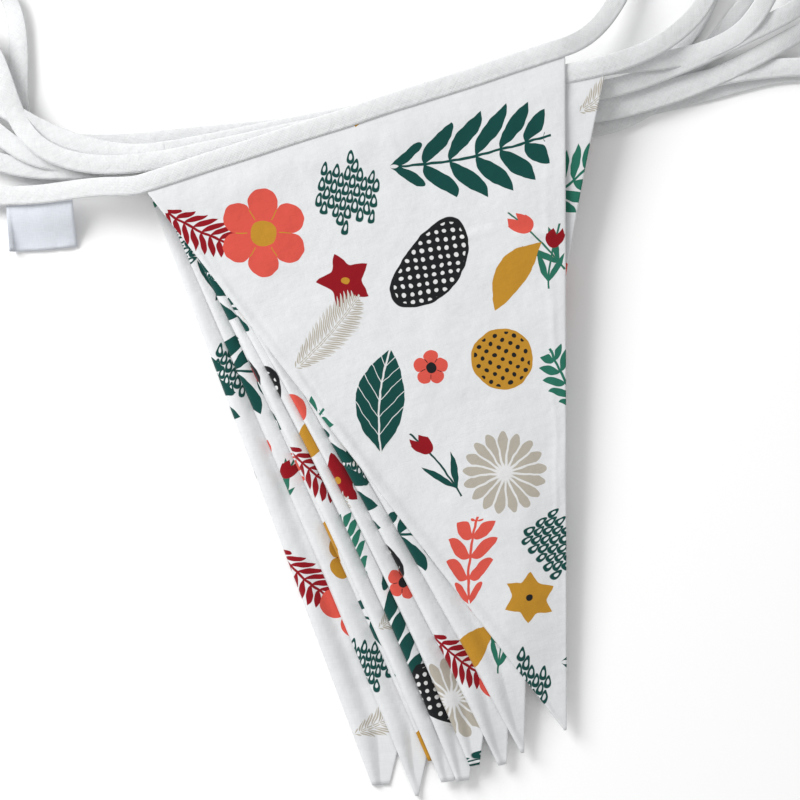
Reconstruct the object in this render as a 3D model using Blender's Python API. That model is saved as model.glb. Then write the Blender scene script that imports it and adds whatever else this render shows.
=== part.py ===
"""Fabric bunting, folded to and fro into a pile and fanned out on a flat surface.

Nine triangular cotton flags hang from one cotton tape, which is folded in half over their top
edges. The tape runs to the right along the first flag, turns back, runs to the left along the
second flag and so on, so the flags lie on each other with a loop of tape between each two.
Flag 1 lies on top and flag 9 at the bottom. Metres, +Z up, and the pile rests on z = 0.
"""

import math
from collections import namedtuple

import bmesh
import bpy
import numpy as np

# Driving dimensions
FLAG_WIDTH = 0.200
FLAG_HEIGHT = 0.293
SHEET = 0.0010  # a flag's cloth
TUCKED_SHEET = 0.0006  # a flag's top edge, pressed flat inside the tape
TAPE_WIDTH = 0.0086  # folded in half
TAPE_LEAF = 0.0005  # one half of the tape where it holds a flag
TAPE_STRIP = 0.0012  # both halves together between the flags
CLEAR = 0.0003  # between pieces that touch
MEET = 0.0004  # between lengths of tape that meet end to end
AIR = 0.0004  # between layers that lie on each other
TAPE_BETWEEN = 0.280  # tape from one flag to the next
TIE_LENGTH = 0.240  # tape before the first flag and after the last
LABEL_WIDTH = 0.0306
LABEL_DROP = 0.0210  # below the tape
LABEL_TUCK = 0.0040  # under the tape
LABEL_FROM_FLAG = 0.0335

# Turns of the loops, where the tape stands on its stitched edge
TURN_RADIUS = 0.010
TURN_ANGLES = (90, 45, 0, -45, -90)  # places on the turn, from its bearing
LEAST_REACH, MOST_REACH = 0.080, 0.180  # from the flags' corners to the turn
TWIST_LENGTH = 0.120  # from lying flat to lying flat again, the turn in its middle
STEEPEST = 0.50  # how steeply a strand comes down from the pile

# The soft roll along the left edge of each flag
ROLL_WIDTH = 0.0085
ROLL_FULL_AT = 0.150  # down the flag, where the roll has its full size
ROLL_LEAST = 0.35  # of its full width, at the tape
ROLL_COLUMNS = (0.0, 0.25, 0.5, 0.75, 1.0)  # places across the roll

# How finely the solids are divided
HEADING_PARTS = 12
LIP = 0.001  # below the tape, where the flag is still level with it
FIRST_ROW = 0.014
FLAG_ROWS = 13
CROSS_STEP = 0.022
LEAST_STEP = 0.002
STRAND_STEP = 0.0115
TURN_PARTS = 6
TIE_PARTS = 22
LABEL_ROWS = 4
STRAND_DIAGONALS = ((0, 1), (1, 2), (3, 2), (0, 3))  # alike on opposite sides, so it stays as thick
CURVE_POINTS = 400

# How the layers settle
MAP_CELL = 0.0010
MAP_LOW = np.array([-0.42, -0.22])
MAP_HIGH = np.array([0.34, 0.34])
PUSHES = 60
SAGS = 60
SAG_SHARE = 0.3  # of the room below it that a point takes in one sag
SAMPLE_PARTS = 12
ON_EDGE = 0.6  # sine of the tilt past which a strand no longer carries a layer

# Each flag as it lies: its top left corner, the rise of its top edge to the right in degrees, and
# its tip. Blunt is the width left at the tip, the bows draw its sides in at their middles, roll is
# the height of its rolled edge and ease how often the sheet is drawn smooth.
Flag = namedtuple("Flag", "corner_x corner_y slope tip_x tip_y blunt left_bow right_bow roll ease")
FLAGS = {
    1: Flag(-0.1151, 0.0945, 17.9, 0.0758, -0.1511, 0.0012, 0.0000, 0.0000, 0.0008, 14),
    2: Flag(-0.1023, 0.1059, 12.1, 0.0562, -0.1616, 0.0015, 0.0034, 0.0087, 0.0022, 4),
    3: Flag(-0.1059, 0.1091, 10.9, 0.0470, -0.1671, 0.0040, 0.0039, 0.0087, 0.0022, 4),
    4: Flag(-0.1132, 0.1082, 8.0, 0.0342, -0.1676, 0.0045, 0.0070, 0.0030, 0.0022, 4),
    5: Flag(-0.1119, 0.1041, 6.5, 0.0288, -0.1744, 0.0060, 0.0066, 0.0030, 0.0025, 4),
    6: Flag(-0.1142, 0.1073, 6.5, 0.0219, -0.1749, 0.0060, 0.0030, 0.0030, 0.0025, 4),
    7: Flag(-0.1160, 0.1142, 5.5, 0.0137, -0.1657, 0.0015, 0.0020, 0.0030, 0.0022, 4),
    8: Flag(-0.1151, 0.1059, 4.0, 0.0078, -0.1817, 0.0015, 0.0010, 0.0030, 0.0022, 4),
    9: Flag(-0.1215, 0.1119, 2.5, -0.0087, -0.1767, 0.0080, 0.0000, 0.0030, 0.0025, 4),
}
FIRST, LAST = min(FLAGS), max(FLAGS)

# Each loop joins a flag to the next one under it, on the right (1) or the left (-1). Upper and
# lower are points that its two strands pass, and bearing is the way to its turn in degrees.
Loop = namedtuple("Loop", "upper_flag side upper_x upper_y lower_x lower_y bearing")
LOOPS = (
    Loop(1, 1, 0.0991, 0.1826, 0.1393, 0.1826, 60),
    Loop(2, -1, -0.1699, 0.1212, -0.1653, 0.1247, 152),
    Loop(3, 1, 0.1603, 0.1726, 0.1498, 0.1630, 27),
    Loop(4, -1, -0.1685, 0.1119, -0.1653, 0.1055, 166),
    Loop(5, 1, 0.1735, 0.1630, 0.1826, 0.1525, 15),
    Loop(6, -1, -0.1689, 0.1187, -0.1644, 0.1224, 138),
    Loop(7, 1, 0.1388, 0.1781, 0.1534, 0.1744, 44),
    Loop(8, -1, -0.1689, 0.1142, -0.1644, 0.1160, 180),
)

# The two free ends of the tape, and points that they pass from the flag outwards
Tie = namedtuple("Tie", "name flag side")
Point = namedtuple("Point", "x y")
TIES = (Tie("tie_front", FIRST, -1), Tie("tie_back", LAST, 1))
TIE_POINTS = {
    "tie_front": (
        Point(-0.1324, 0.0971),
        Point(-0.1635, 0.0941),
        Point(-0.1826, 0.0931),
        Point(-0.2370, 0.0860),
        Point(-0.3000, 0.0850),
        Point(-0.3700, 0.0960),
    ),
    "tie_back": (
        Point(0.1096, 0.1333),
        Point(0.1461, 0.1425),
        Point(0.1826, 0.1500),
        Point(0.2120, 0.1420),
        Point(0.2370, 0.1190),
        Point(0.2530, 0.0850),
        Point(0.2580, 0.0400),
    ),
}

WHITE_COTTON = (0.86, 0.87, 0.88)
WHITE_TAPE = (0.83, 0.84, 0.85)
WHITE_SATIN = (0.88, 0.89, 0.90)


def clear_scene():
    for thing in list(bpy.data.objects):
        bpy.data.objects.remove(thing)


def cloth_material(name, colour):
    material = bpy.data.materials.new(name)
    material.use_nodes = True
    shader = material.node_tree.nodes["Principled BSDF"]
    shader.inputs["Base Color"].default_value = (*colour, 1.0)
    shader.inputs["Roughness"].default_value = 0.85
    shader.inputs["Metallic"].default_value = 0.0
    return material


def make_object(name, builder, material):
    """Object of a finished bmesh, its faces turned outwards."""
    bmesh.ops.recalc_face_normals(builder, faces=builder.faces)
    mesh = bpy.data.meshes.new(name)
    builder.to_mesh(mesh)
    builder.free()
    mesh.materials.append(material)
    thing = bpy.data.objects.new(name, mesh)
    bpy.context.scene.collection.objects.link(thing)
    return thing


def soft_step(value):
    """0 up to 0, 1 from 1, and a soft rise between."""
    held = np.clip(value, 0.0, 1.0)
    return held * held * (3.0 - 2.0 * held)


def cross(first, second):
    """Of two plane vectors."""
    return first[..., 0] * second[..., 1] - first[..., 1] * second[..., 0]


def shares_of(spots, corners):
    """Barycentric shares of each spot in a plane triangle, or None for one seen on edge."""
    first, second = corners[1] - corners[0], corners[2] - corners[0]
    area = cross(first, second)
    if abs(area) < 1e-10:
        return None
    away = spots - corners[0]
    to_first = cross(away, second) / area
    to_second = cross(first, away) / area
    return np.stack([1.0 - to_first - to_second, to_first, to_second], -1)


def even_shares(parts):
    """Barycentric shares of points spread evenly over a triangle."""
    rows = [(first, second) for first in range(parts + 1) for second in range(parts + 1 - first)]
    return np.array([(parts - first - second, first, second) for first, second in rows]) / parts


def ribbon(near, far):
    """Points and triangles of the strip between two lines."""
    first = np.arange(len(near) - 1)
    other = first + len(near)
    halves = [np.stack([first, first + 1, other], 1), np.stack([first + 1, other + 1, other], 1)]
    return np.concatenate([near, far]), np.concatenate(halves)


class Pile:
    """The lowest height that the next layer may have, over a map of square cells."""

    def __init__(self):
        across, along = np.ceil((MAP_HIGH - MAP_LOW) / MAP_CELL).astype(int)
        self.heights = np.zeros((across, along))

    def lay(self, points, triangles):
        """Adds a layer's top, each triangle filled in."""
        for corners in points[triangles]:
            low = np.floor((corners[:, :2].min(0) - MAP_LOW) / MAP_CELL).astype(int) - 1
            high = np.ceil((corners[:, :2].max(0) - MAP_LOW) / MAP_CELL).astype(int) + 1
            columns, rows = np.mgrid[low[0] : high[0], low[1] : high[1]]
            spots = MAP_LOW + (np.stack([columns, rows], -1) + 0.5) * MAP_CELL
            shares = shares_of(spots, corners[:, :2])
            if shares is None:
                continue
            inside = (shares > -0.05).all(-1)
            tops = np.where(inside, shares @ corners[:, 2] + AIR, 0.0)
            patch = self.heights[low[0] : high[0], low[1] : high[1]]
            np.maximum(patch, tops, out=patch)

    def under(self, spots):
        """Height that clears the pile at these places and one cell round them."""
        cells = np.floor((spots - MAP_LOW) / MAP_CELL).astype(int)
        steps = [(right, up) for right in (-1, 0, 1) for up in (-1, 0, 1)]
        found = [self.heights[cells[..., 0] + right, cells[..., 1] + up] for right, up in steps]
        return np.max(found, axis=0)


class Layer:
    """Triangles in plan that settle together. Several points can share one height."""

    def __init__(self):
        self.plans, self.triangles, self.owners, self.drops = [], [], [], []
        self.points = 0

    def add(self, plan, triangles, owners, drops):
        """Adds points whose undersides lie drops below the heights that own them."""
        self.plans.append(plan)
        self.triangles.append(triangles + self.points)
        self.owners.append(owners)
        self.drops.append(drops)
        self.points += len(plan)

    def add_strip(self, near, far, owners, drops):
        self.add(*ribbon(near, far), np.tile(owners, 2), np.tile(drops, 2))

    def settle(self, pile, ease):
        """Lowest heights at which the layer clears the pile, then drawn smooth ease times."""
        triangles = np.concatenate(self.triangles)
        owners = np.concatenate(self.owners)[triangles]
        shares = even_shares(SAMPLE_PARTS)
        plan, drops = np.concatenate(self.plans)[triangles], np.concatenate(self.drops)[triangles]
        needed = pile.under(shares @ plan) + drops @ shares.T
        heights = pushed_up(needed, owners, shares)
        heights = sagged(heights, needed, owners, shares)
        pairs = neighbours(owners)
        for _ in range(ease):
            heights = drawn_up(heights, pairs)
        return heights


def pushed_up(needed, owners, shares):
    """Heights raised until no triangle reaches into the pile, and none past what is under it."""
    heights = np.full(owners.max() + 1, needed.min())
    most = heights.copy()
    np.maximum.at(most, owners, np.repeat(needed.max(1)[:, None], 3, axis=1))
    worth = shares / (shares**2).sum(1)[:, None]
    for _ in range(PUSHES):
        lack = needed - heights[owners] @ shares.T
        worst = lack.argmax(1)
        lift = np.maximum(lack.max(1), 0.0)
        np.maximum.at(heights, owners, heights[owners] + lift[:, None] * worth[worst])
        heights = np.minimum(heights, most)
    return heights


def sagged(heights, needed, owners, shares):
    """Heights let down again as far as the pile leaves room."""
    same = (owners[:, :, None] == owners[:, None, :]).astype(float)
    pulls = np.einsum("tij,sj->tis", same, shares)
    per_pull = np.where(pulls > 0.0, 1.0 / np.maximum(pulls, 1e-9), np.inf)
    for _ in range(SAGS):
        spare = np.maximum(heights[owners] @ shares.T - needed, 1e-9)
        room = (spare[:, None, :] * per_pull).min(2)
        least = np.full_like(heights, np.inf)
        np.minimum.at(least, owners, room)
        heights = heights - SAG_SHARE * least
    return heights


def neighbours(owners):
    """Pairs of heights that lie next to each other. At a free edge they run along that edge."""
    pairs = np.sort(owners[:, [[0, 1], [1, 2], [2, 0]]].reshape(-1, 2), axis=1)
    pairs, uses = np.unique(pairs[pairs[:, 0] != pairs[:, 1]], axis=0, return_counts=True)
    on_edge = np.zeros(owners.max() + 1, bool)
    on_edge[pairs[uses == 1]] = True
    pairs, uses = np.concatenate([pairs, pairs[:, ::-1]]), np.tile(uses, 2)
    return pairs[(uses == 1) | ~on_edge[pairs[:, 0]]]


def drawn_up(heights, pairs):
    """Each height that is below the mean of its neighbours, raised to it. An end stays."""
    count = np.bincount(pairs[:, 0], minlength=len(heights))
    total = np.bincount(pairs[:, 0], heights[pairs[:, 1]], minlength=len(heights))
    return np.where(count > 1, np.maximum(heights, total / np.maximum(count, 1)), heights)


class FlagPlan:
    """Where a flag lies in plan: its top edge, its sides and its rows of points."""

    def __init__(self, number):
        self.row = FLAGS[number]
        slope = math.radians(self.row.slope)
        self.right = np.array([math.cos(slope), math.sin(slope)])
        self.up = np.array([-math.sin(slope), math.cos(slope)])
        self.corner = np.array([self.row.corner_x, self.row.corner_y])
        self.far_corner = self.corner + FLAG_WIDTH * self.right
        self.tip = np.array([self.row.tip_x, self.row.tip_y])

    def tape_end(self, side):
        """Middle of the tape at the flag's right (1) or left (-1) corner."""
        corner = self.far_corner if side > 0 else self.corner
        return corner + 0.5 * TAPE_WIDTH * self.up

    def top_line(self, above=0.0):
        """Points along the top edge, or along a line above it."""
        along = FLAG_WIDTH * np.linspace(0.0, 1.0, HEADING_PARTS + 1)[:, None]
        return self.corner + along * self.right + above * self.up

    def sides_at(self, down):
        """Left and right end of the row that lies down below the top edge."""
        share = down / FLAG_HEIGHT
        bulge = 4.0 * share * (1.0 - share)
        half_blunt = 0.5 * self.row.blunt * share
        left = self.corner + (self.tip - self.corner) * share
        right = self.far_corner + (self.tip - self.far_corner) * share
        left = left + (self.row.left_bow * bulge - half_blunt) * self.right
        right = right - (self.row.right_bow * bulge - half_blunt) * self.right
        return left, right

    def row_at(self, down):
        """A row's points in plan, how high the roll lifts them, and their shares of the row."""
        left, right = self.sides_at(down)
        length = np.linalg.norm(right - left)
        roll = min(length, ROLL_WIDTH * max(ROLL_LEAST, min(1.0, down / ROLL_FULL_AT)))
        steps = [share * roll for share in ROLL_COLUMNS]
        rest = length - roll
        if rest > LEAST_STEP:
            parts = math.ceil(rest / CROSS_STEP)
            steps += [roll + rest * part / parts for part in range(1, parts + 1)]
        across = np.clip(np.array(steps) / roll, 0.0, 1.0)
        lift = self.row.roll * soft_step(down / ROLL_FULL_AT) * np.sin(np.pi * across) ** 2
        shares = np.array(steps) / length
        return left + (right - left) * shares[:, None], lift, shares

    def rows(self):
        """All rows, from the edge tucked into the tape down to the tip."""
        tucked = TAPE_WIDTH - TAPE_LEAF - CLEAR
        shares = np.linspace(0.0, 1.0, HEADING_PARTS + 1)
        found = [(self.top_line(above), 0.0 * shares, shares) for above in (tucked, -LIP)]
        return found + [self.row_at(down) for down in np.linspace(FIRST_ROW, FLAG_HEIGHT, FLAG_ROWS)]


def zip_rows(shares):
    """Triangles between neighbouring rows that may differ in their number of points."""
    triangles = []
    start = 0
    for above, below in zip(shares[:-1], shares[1:]):
        here, there = 0, 0
        next_start = start + len(above)
        while here < len(above) - 1 or there < len(below) - 1:
            below_done = there == len(below) - 1
            step_above = here < len(above) - 1 and (below_done or above[here + 1] <= below[there + 1])
            corners = [start + here, next_start + there]
            here, there = here + step_above, there + (not step_above)
            corners.append(start + here if step_above else next_start + there)
            triangles.append(corners)
        start = next_start
    return np.array(triangles)


class LaidFlag:
    """A flag with the tape over its top edge and the strands that leave it, settled on the pile.

    Strands holds (side, strand, stops), where the stops run from the flag outwards.
    """

    def __init__(self, number, pile, strands):
        self.number = number
        self.plan = FlagPlan(number)
        places, lifts, shares = zip(*self.plan.rows())
        self.places = np.concatenate(places)
        self.triangles = zip_rows(shares)
        self.bottoms = self.settled(pile, strands) + np.concatenate(lifts)

    def settled(self, pile, strands):
        """Heights of the flag's underside. Sets those of the strands too."""
        count = HEADING_PARTS + 1
        heights_of = np.arange(len(self.places))
        heights_of[:count] += count  # the tucked edge is level with the row below it
        heading = heights_of[:count]
        layer = Layer()
        layer.add(self.places, self.triangles, heights_of, np.zeros(len(heights_of)))
        leaf_drop = np.full(count, TAPE_LEAF + CLEAR)
        layer.add_strip(self.plan.top_line(), self.plan.top_line(TAPE_WIDTH), heading, leaf_drop)
        free = len(self.places)
        owned = []
        for side, strand, stops in strands:
            own = np.arange(free, free + len(stops))
            own[0] = heading[-1 if side > 0 else 0]
            free += len(stops)
            owned.append(own)
            drop = strand.half_height()[stops] - 0.5 * TUCKED_SHEET
            layer.add_strip(*strand.footprint(stops), own, drop)
        heights = layer.settle(pile, self.plan.row.ease)
        for own, (_, strand, stops) in zip(owned, strands):
            strand.set_heights(stops, heights[own] + 0.5 * TUCKED_SHEET)
        return heights[heights_of]

    def build_flag(self, material):
        """The flag's sheet, pushed up to its thickness."""
        builder = bmesh.new()
        points = np.column_stack([self.places, self.bottoms])
        corners = [builder.verts.new(point) for point in points]
        for triangle in self.triangles:
            builder.faces.new([corners[index] for index in triangle])
        thickness = np.full(len(points), SHEET)
        thickness[: 2 * (HEADING_PARTS + 1)] = TUCKED_SHEET
        by_place = {tuple(corner.co): size for corner, size in zip(corners, thickness)}
        made = bmesh.ops.extrude_face_region(builder, geom=list(builder.faces))
        for item in made["geom"]:
            if isinstance(item, bmesh.types.BMVert):
                item.co.z += by_place[tuple(item.co)]
        return make_object(f"flag_{self.number}", builder, material)

    def tape_line(self):
        """The tape's stitched edge, level with the flag's underside."""
        return np.column_stack([self.plan.top_line(), self.bottoms[: HEADING_PARTS + 1]])

    def build_tape(self, material):
        """The tape folded over the flag's top edge: a U lying on its side, its mouth to the flag."""
        low, high = -CLEAR - TAPE_LEAF, TUCKED_SHEET + CLEAR + TAPE_LEAF
        wall = TAPE_WIDTH - TAPE_LEAF
        outside = ((0.0, low), (TAPE_WIDTH, low), (TAPE_WIDTH, high), (0.0, high))
        top, bottom = high - TAPE_LEAF, low + TAPE_LEAF
        inside = ((0.0, top), (wall, top), (wall, bottom), (0.0, bottom))
        section = np.array([(*(across * self.plan.up), height) for across, height in outside + inside])
        sections = self.tape_line()[:, None, :] + section
        return make_object(f"tape_on_flag_{self.number}", sweep(sections), material)

    def lay_on(self, pile):
        """Adds the flag's and the tape's tops to the pile."""
        pile.lay(np.column_stack([self.places, self.bottoms + SHEET]), self.triangles)
        front = self.tape_line() + [0.0, 0.0, TUCKED_SHEET + CLEAR + TAPE_LEAF]
        pile.lay(*ribbon(front, front + [*(TAPE_WIDTH * self.plan.up), 0.0]))


def sweep(sections, diagonals=()):
    """Solid through a row of sections: its first end face, pushed on from each to the next.

    Diagonals splits the sides between two sections, from a corner of one to a corner of the next.
    """
    builder = bmesh.new()
    ring = [builder.verts.new(point) for point in sections[0]]
    end = builder.faces.new(ring)
    for section in sections[1:]:
        made = bmesh.ops.extrude_face_region(builder, geom=[end, *end.edges])
        end = next(item for item in made["geom"] if isinstance(item, bmesh.types.BMFace))
        partners = [[edge.other_vert(corner) for edge in corner.link_edges] for corner in ring]
        moved = [next(other for other in found if other in end.verts) for found in partners]
        for corner, point in zip(moved, section):
            corner.co = point
        for first, second in diagonals:
            side = next(face for face in ring[first].link_faces if moved[second] in face.verts)
            bmesh.utils.face_split(side, ring[first], moved[second])
        ring = moved
    return builder


def spline_ways(points, knots, first_way, last_way):
    """Direction of the smooth curve at each of its points, the two at its ends given."""
    spans = np.diff(knots)
    chords = np.diff(points, axis=0) / spans[:, None]
    matrix = np.eye(len(points))
    pull = np.array([first_way] + [first_way] * (len(points) - 2) + [last_way])
    for index in range(1, len(points) - 1):
        before, after = spans[index - 1], spans[index]
        matrix[index, index - 1 : index + 2] = after, 2.0 * (before + after), before
        pull[index] = 3.0 * (after * chords[index - 1] + before * chords[index])
    return np.linalg.solve(matrix, pull)


def spline(points, first_way, last_way):
    """Dense points on the smooth curve through the given ones."""
    points = np.array(points)
    knots = lengths_along(points)
    ways = spline_ways(points, knots, first_way, last_way)
    at = np.linspace(0.0, knots[-1], CURVE_POINTS)
    span = np.clip(np.searchsorted(knots, at, side="right") - 1, 0, len(points) - 2)
    size = np.diff(knots)[span][:, None]
    share = (at[:, None] - knots[span][:, None]) / size
    rest = 1.0 - share
    ends = (1.0 + 2.0 * share) * rest**2 * points[span] + (3.0 - 2.0 * share) * share**2 * points[span + 1]
    return ends + size * (share * rest**2 * ways[span] - rest * share**2 * ways[span + 1])


def lengths_along(line):
    steps = np.linalg.norm(np.diff(line, axis=0), axis=1)
    return np.concatenate([[0.0], np.cumsum(steps)])


def at_stops(line, values, stops):
    """Values given along a line, read at these distances along it."""
    along = lengths_along(line)
    return np.column_stack([np.interp(stops, along, column) for column in values.T])


def units(vectors):
    return vectors / np.linalg.norm(vectors, axis=1)[:, None]


def loop_line(loop):
    """Plan of a loop from its upper flag round its turn to its lower one, as long as its tape.

    Also gives how far along it the turn is.
    """
    upper, lower = FlagPlan(loop.upper_flag), FlagPlan(loop.upper_flag + 1)
    outward, inward = loop.side * upper.right, -loop.side * lower.right
    start = upper.tape_end(loop.side) + MEET * outward
    end = lower.tape_end(loop.side) - MEET * inward
    angles = np.radians(loop.bearing + loop.side * np.array(TURN_ANGLES))
    turn = TURN_RADIUS * np.column_stack([np.cos(angles), np.sin(angles)])
    ahead = np.array([math.cos(math.radians(loop.bearing)), math.sin(math.radians(loop.bearing))])
    near, far = LEAST_REACH, MOST_REACH
    while far - near > 1e-7:
        reach = 0.5 * (near + far)
        bend = 0.5 * (start + end) + reach * ahead + turn
        upper_point, lower_point = (loop.upper_x, loop.upper_y), (loop.lower_x, loop.lower_y)
        line = spline([start, upper_point, *bend, lower_point, end], outward, inward)
        too_long = lengths_along(line)[-1] > TAPE_BETWEEN - 2.0 * MEET
        near, far = (near, reach) if too_long else (reach, far)
    middle = np.linalg.norm(line - bend[len(bend) // 2], axis=1).argmin()
    return line, lengths_along(line)[middle]


def loop_stops(total, turn_at):
    """Stops along a loop, close together round its turn, and the number of the middle one."""
    half_turn = 0.5 * math.pi * TURN_RADIUS
    before, after = turn_at - half_turn, turn_at + half_turn
    out = np.linspace(0.0, before, math.ceil(before / STRAND_STEP) + 1)
    turn = np.linspace(before, after, TURN_PARTS + 1)
    back = np.linspace(after, total, math.ceil((total - after) / STRAND_STEP) + 1)
    return np.concatenate([out, turn[1:], back[1:]]), len(out) - 1 + TURN_PARTS // 2


class Strand:
    """A free length of tape: its plan, how far it is turned on edge, and its heights."""

    def __init__(self, line, stops, side, twist):
        self.plan = at_stops(line, line, stops)
        self.ways = units(at_stops(line, np.gradient(line, axis=0), stops))
        self.stops = stops
        self.side = side
        self.twist = twist
        self.heights = np.zeros(len(stops))

    def level_side(self):
        """Unit vector in plan from the middle of the tape towards its stitched edge."""
        return self.side * np.column_stack([self.ways[:, 1], -self.ways[:, 0]])

    def half_size(self, of_width, of_strip):
        return 0.5 * (TAPE_WIDTH * np.abs(of_width) + TAPE_STRIP * np.abs(of_strip))

    def half_height(self):
        """From the middle of the tape's section down to its lowest point."""
        return self.half_size(np.sin(self.twist), np.cos(self.twist))

    def footprint(self, stops):
        """The tape's two sides in plan at these stops."""
        reach = self.half_size(np.cos(self.twist), np.sin(self.twist))
        aside = reach[:, None] * self.level_side()
        return (self.plan + aside)[stops], (self.plan - aside)[stops]

    def set_heights(self, stops, heights):
        """Takes the settled heights, made no steeper than tape would lie. The first one stays."""
        falls = STEEPEST * np.abs(np.diff(self.stops[stops]))
        for index in range(len(falls)):
            heights[index + 1] = max(heights[index + 1], heights[index] - falls[index])
        for index in range(len(falls) - 1, 0, -1):
            heights[index] = max(heights[index], heights[index + 1] - falls[index])
        self.heights[stops] = heights

    def frame(self):
        """Middle points, and the unit vectors towards the stitched edge and out of the face."""
        middles = np.column_stack([self.plan, self.heights])
        climb = np.gradient(self.heights, self.stops)
        climb[[0, -1]] = 0.0
        ways = units(np.column_stack([self.ways, climb]))
        level = np.cos(self.twist)[:, None] * self.level_side()
        across = np.column_stack([level, -np.sin(self.twist)])
        across = units(across - (across * ways).sum(1)[:, None] * ways)
        return middles, across, np.cross(ways, across)

    def build(self, name, material):
        middles, across, out = self.frame()
        wide, thick = 0.5 * TAPE_WIDTH * across, 0.5 * TAPE_STRIP * out
        signs = ((-1, -1), (1, -1), (1, 1), (-1, 1))
        corners = [middles + sideways * wide + upwards * thick for sideways, upwards in signs]
        return make_object(name, sweep(np.stack(corners, axis=1), STRAND_DIAGONALS), material)

    def lay_on(self, pile, stops):
        """Adds the tape's top to the pile, up to where it stands on edge."""
        middles, across, _ = self.frame()
        middles[:, 2] += 0.5 * TAPE_STRIP
        flat = stops[np.abs(np.sin(self.twist[stops])) < ON_EDGE]
        wide = 0.5 * TAPE_WIDTH * across
        pile.lay(*ribbon((middles + wide)[flat], (middles - wide)[flat]))


def loop_strands():
    """By upper flag: the loop, its strand in plan, and the number of the stop in its turn."""
    strands = {}
    for loop in LOOPS:
        line, turn_at = loop_line(loop)
        stops, turn = loop_stops(lengths_along(line)[-1], turn_at)
        twist = np.pi * soft_step((stops - turn_at) / TWIST_LENGTH + 0.5)
        strands[loop.upper_flag] = (loop, Strand(line, stops, loop.side, twist), turn)
    return strands


def tie_strand(tie):
    """A tie's strand in plan, from its flag outwards."""
    plan = FlagPlan(tie.flag)
    outward = tie.side * plan.right
    points = np.array(TIE_POINTS[tie.name])
    last_way = units(points[-1:] - points[-2])[0]
    line = spline([plan.tape_end(tie.side) + MEET * outward, *points], outward, last_way)
    stops = np.linspace(0.0, TIE_LENGTH, TIE_PARTS + 1)
    return Strand(line, stops, tie.side, np.zeros(len(stops)))


def build_label(tie, material):
    """The label under the front tie's stitched edge, coming down to the floor below the tape."""
    middles, across, _ = tie.frame()
    ends = (LABEL_FROM_FLAG, LABEL_FROM_FLAG + LABEL_WIDTH)
    inner = tie.stops[(tie.stops > ends[0]) & (tie.stops < ends[1])]
    stops = np.sort([*ends, *inner])
    edge = middles + 0.5 * TAPE_WIDTH * across
    top = np.column_stack([np.interp(stops, tie.stops, column) for column in edge.T])
    top[:, 2] -= 0.5 * TAPE_STRIP + MEET + SHEET
    middle_stop = np.abs(tie.stops - np.mean(ends)).argmin()
    down = np.array([*tie.level_side()[middle_stop], 0.0])
    builder = bmesh.new()
    rows = []
    for below in (-LABEL_TUCK, *np.linspace(0.0, LABEL_DROP, LABEL_ROWS)):
        row = top + below * down
        row[:, 2] *= 1.0 - soft_step(below / LABEL_DROP)
        rows.append([builder.verts.new(point) for point in row])
    for above, under in zip(rows[:-1], rows[1:]):
        for index in range(len(above) - 1):
            builder.faces.new((above[index], above[index + 1], under[index + 1], under[index]))
    made = bmesh.ops.extrude_face_region(builder, geom=list(builder.faces))
    for item in made["geom"]:
        if isinstance(item, bmesh.types.BMVert):
            item.co.z += SHEET
    return make_object("label", builder, material)


def centre_on_origin(things):
    """Moves every mesh so that the middle of the whole box is over the origin."""
    corners = np.array([corner.co for thing in things for corner in thing.data.vertices])
    middle = 0.5 * (corners.min(0) + corners.max(0))
    for thing in things:
        for corner in thing.data.vertices:
            corner.co.x -= middle[0]
            corner.co.y -= middle[1]


def strands_of(number, loops, ties):
    """(side, strand, stops) of what leaves a flag, with the stops from the flag outwards."""
    found = [(tie.side, strand, np.arange(len(strand.stops))) for tie, strand in ties if tie.flag == number]
    if number - 1 in loops:
        loop, strand, turn = loops[number - 1]
        found.append((loop.side, strand, np.arange(len(strand.stops) - 1, turn - 1, -1)))
    if number in loops:
        loop, strand, turn = loops[number]
        found.append((loop.side, strand, np.arange(turn + 1)))
    return found


def main():
    clear_scene()
    cotton = cloth_material("printed_cotton", WHITE_COTTON)
    tape = cloth_material("white_tape", WHITE_TAPE)
    satin = cloth_material("label_satin", WHITE_SATIN)
    pile = Pile()
    loops = loop_strands()
    ties = [(tie, tie_strand(tie)) for tie in TIES]
    things = []
    for number in range(LAST, FIRST - 1, -1):
        strands = strands_of(number, loops, ties)
        flag = LaidFlag(number, pile, strands)
        things += [flag.build_flag(cotton), flag.build_tape(tape)]
        flag.lay_on(pile)
        for _, strand, stops in strands:
            strand.lay_on(pile, stops)
    for upper_flag, (_, strand, _) in loops.items():
        things.append(strand.build(f"tape_loop_{upper_flag}_{upper_flag + 1}", tape))
    for tie, strand in ties:
        things.append(strand.build(tie.name, tape))
    things.append(build_label(ties[0][1], satin))
    centre_on_origin(things)


main()
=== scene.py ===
# %% [markdown]
# # A string of cotton flags, folded up and fanned out
# Bunting is a row of cloth triangles on one long tape. Here it has just been folded to and fro:
# flag lies on flag, the tape makes a loop at each end of the pile, and the pile is fanned a little
# so that a strip of each flag shows beside the one above it. Everything is soft and thin, so the
# look comes from three things: rounded folded edges, faint creases, and a crisp print.
#
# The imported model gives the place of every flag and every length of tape. This script lays fine
# cloth on those solids. Sizes are in metres, and +Z is up.

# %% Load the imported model
import math
from collections import namedtuple

import bmesh
import bpy
import numpy as np
from mathutils import Matrix, Vector
from mathutils.bvhtree import BVHTree


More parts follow.
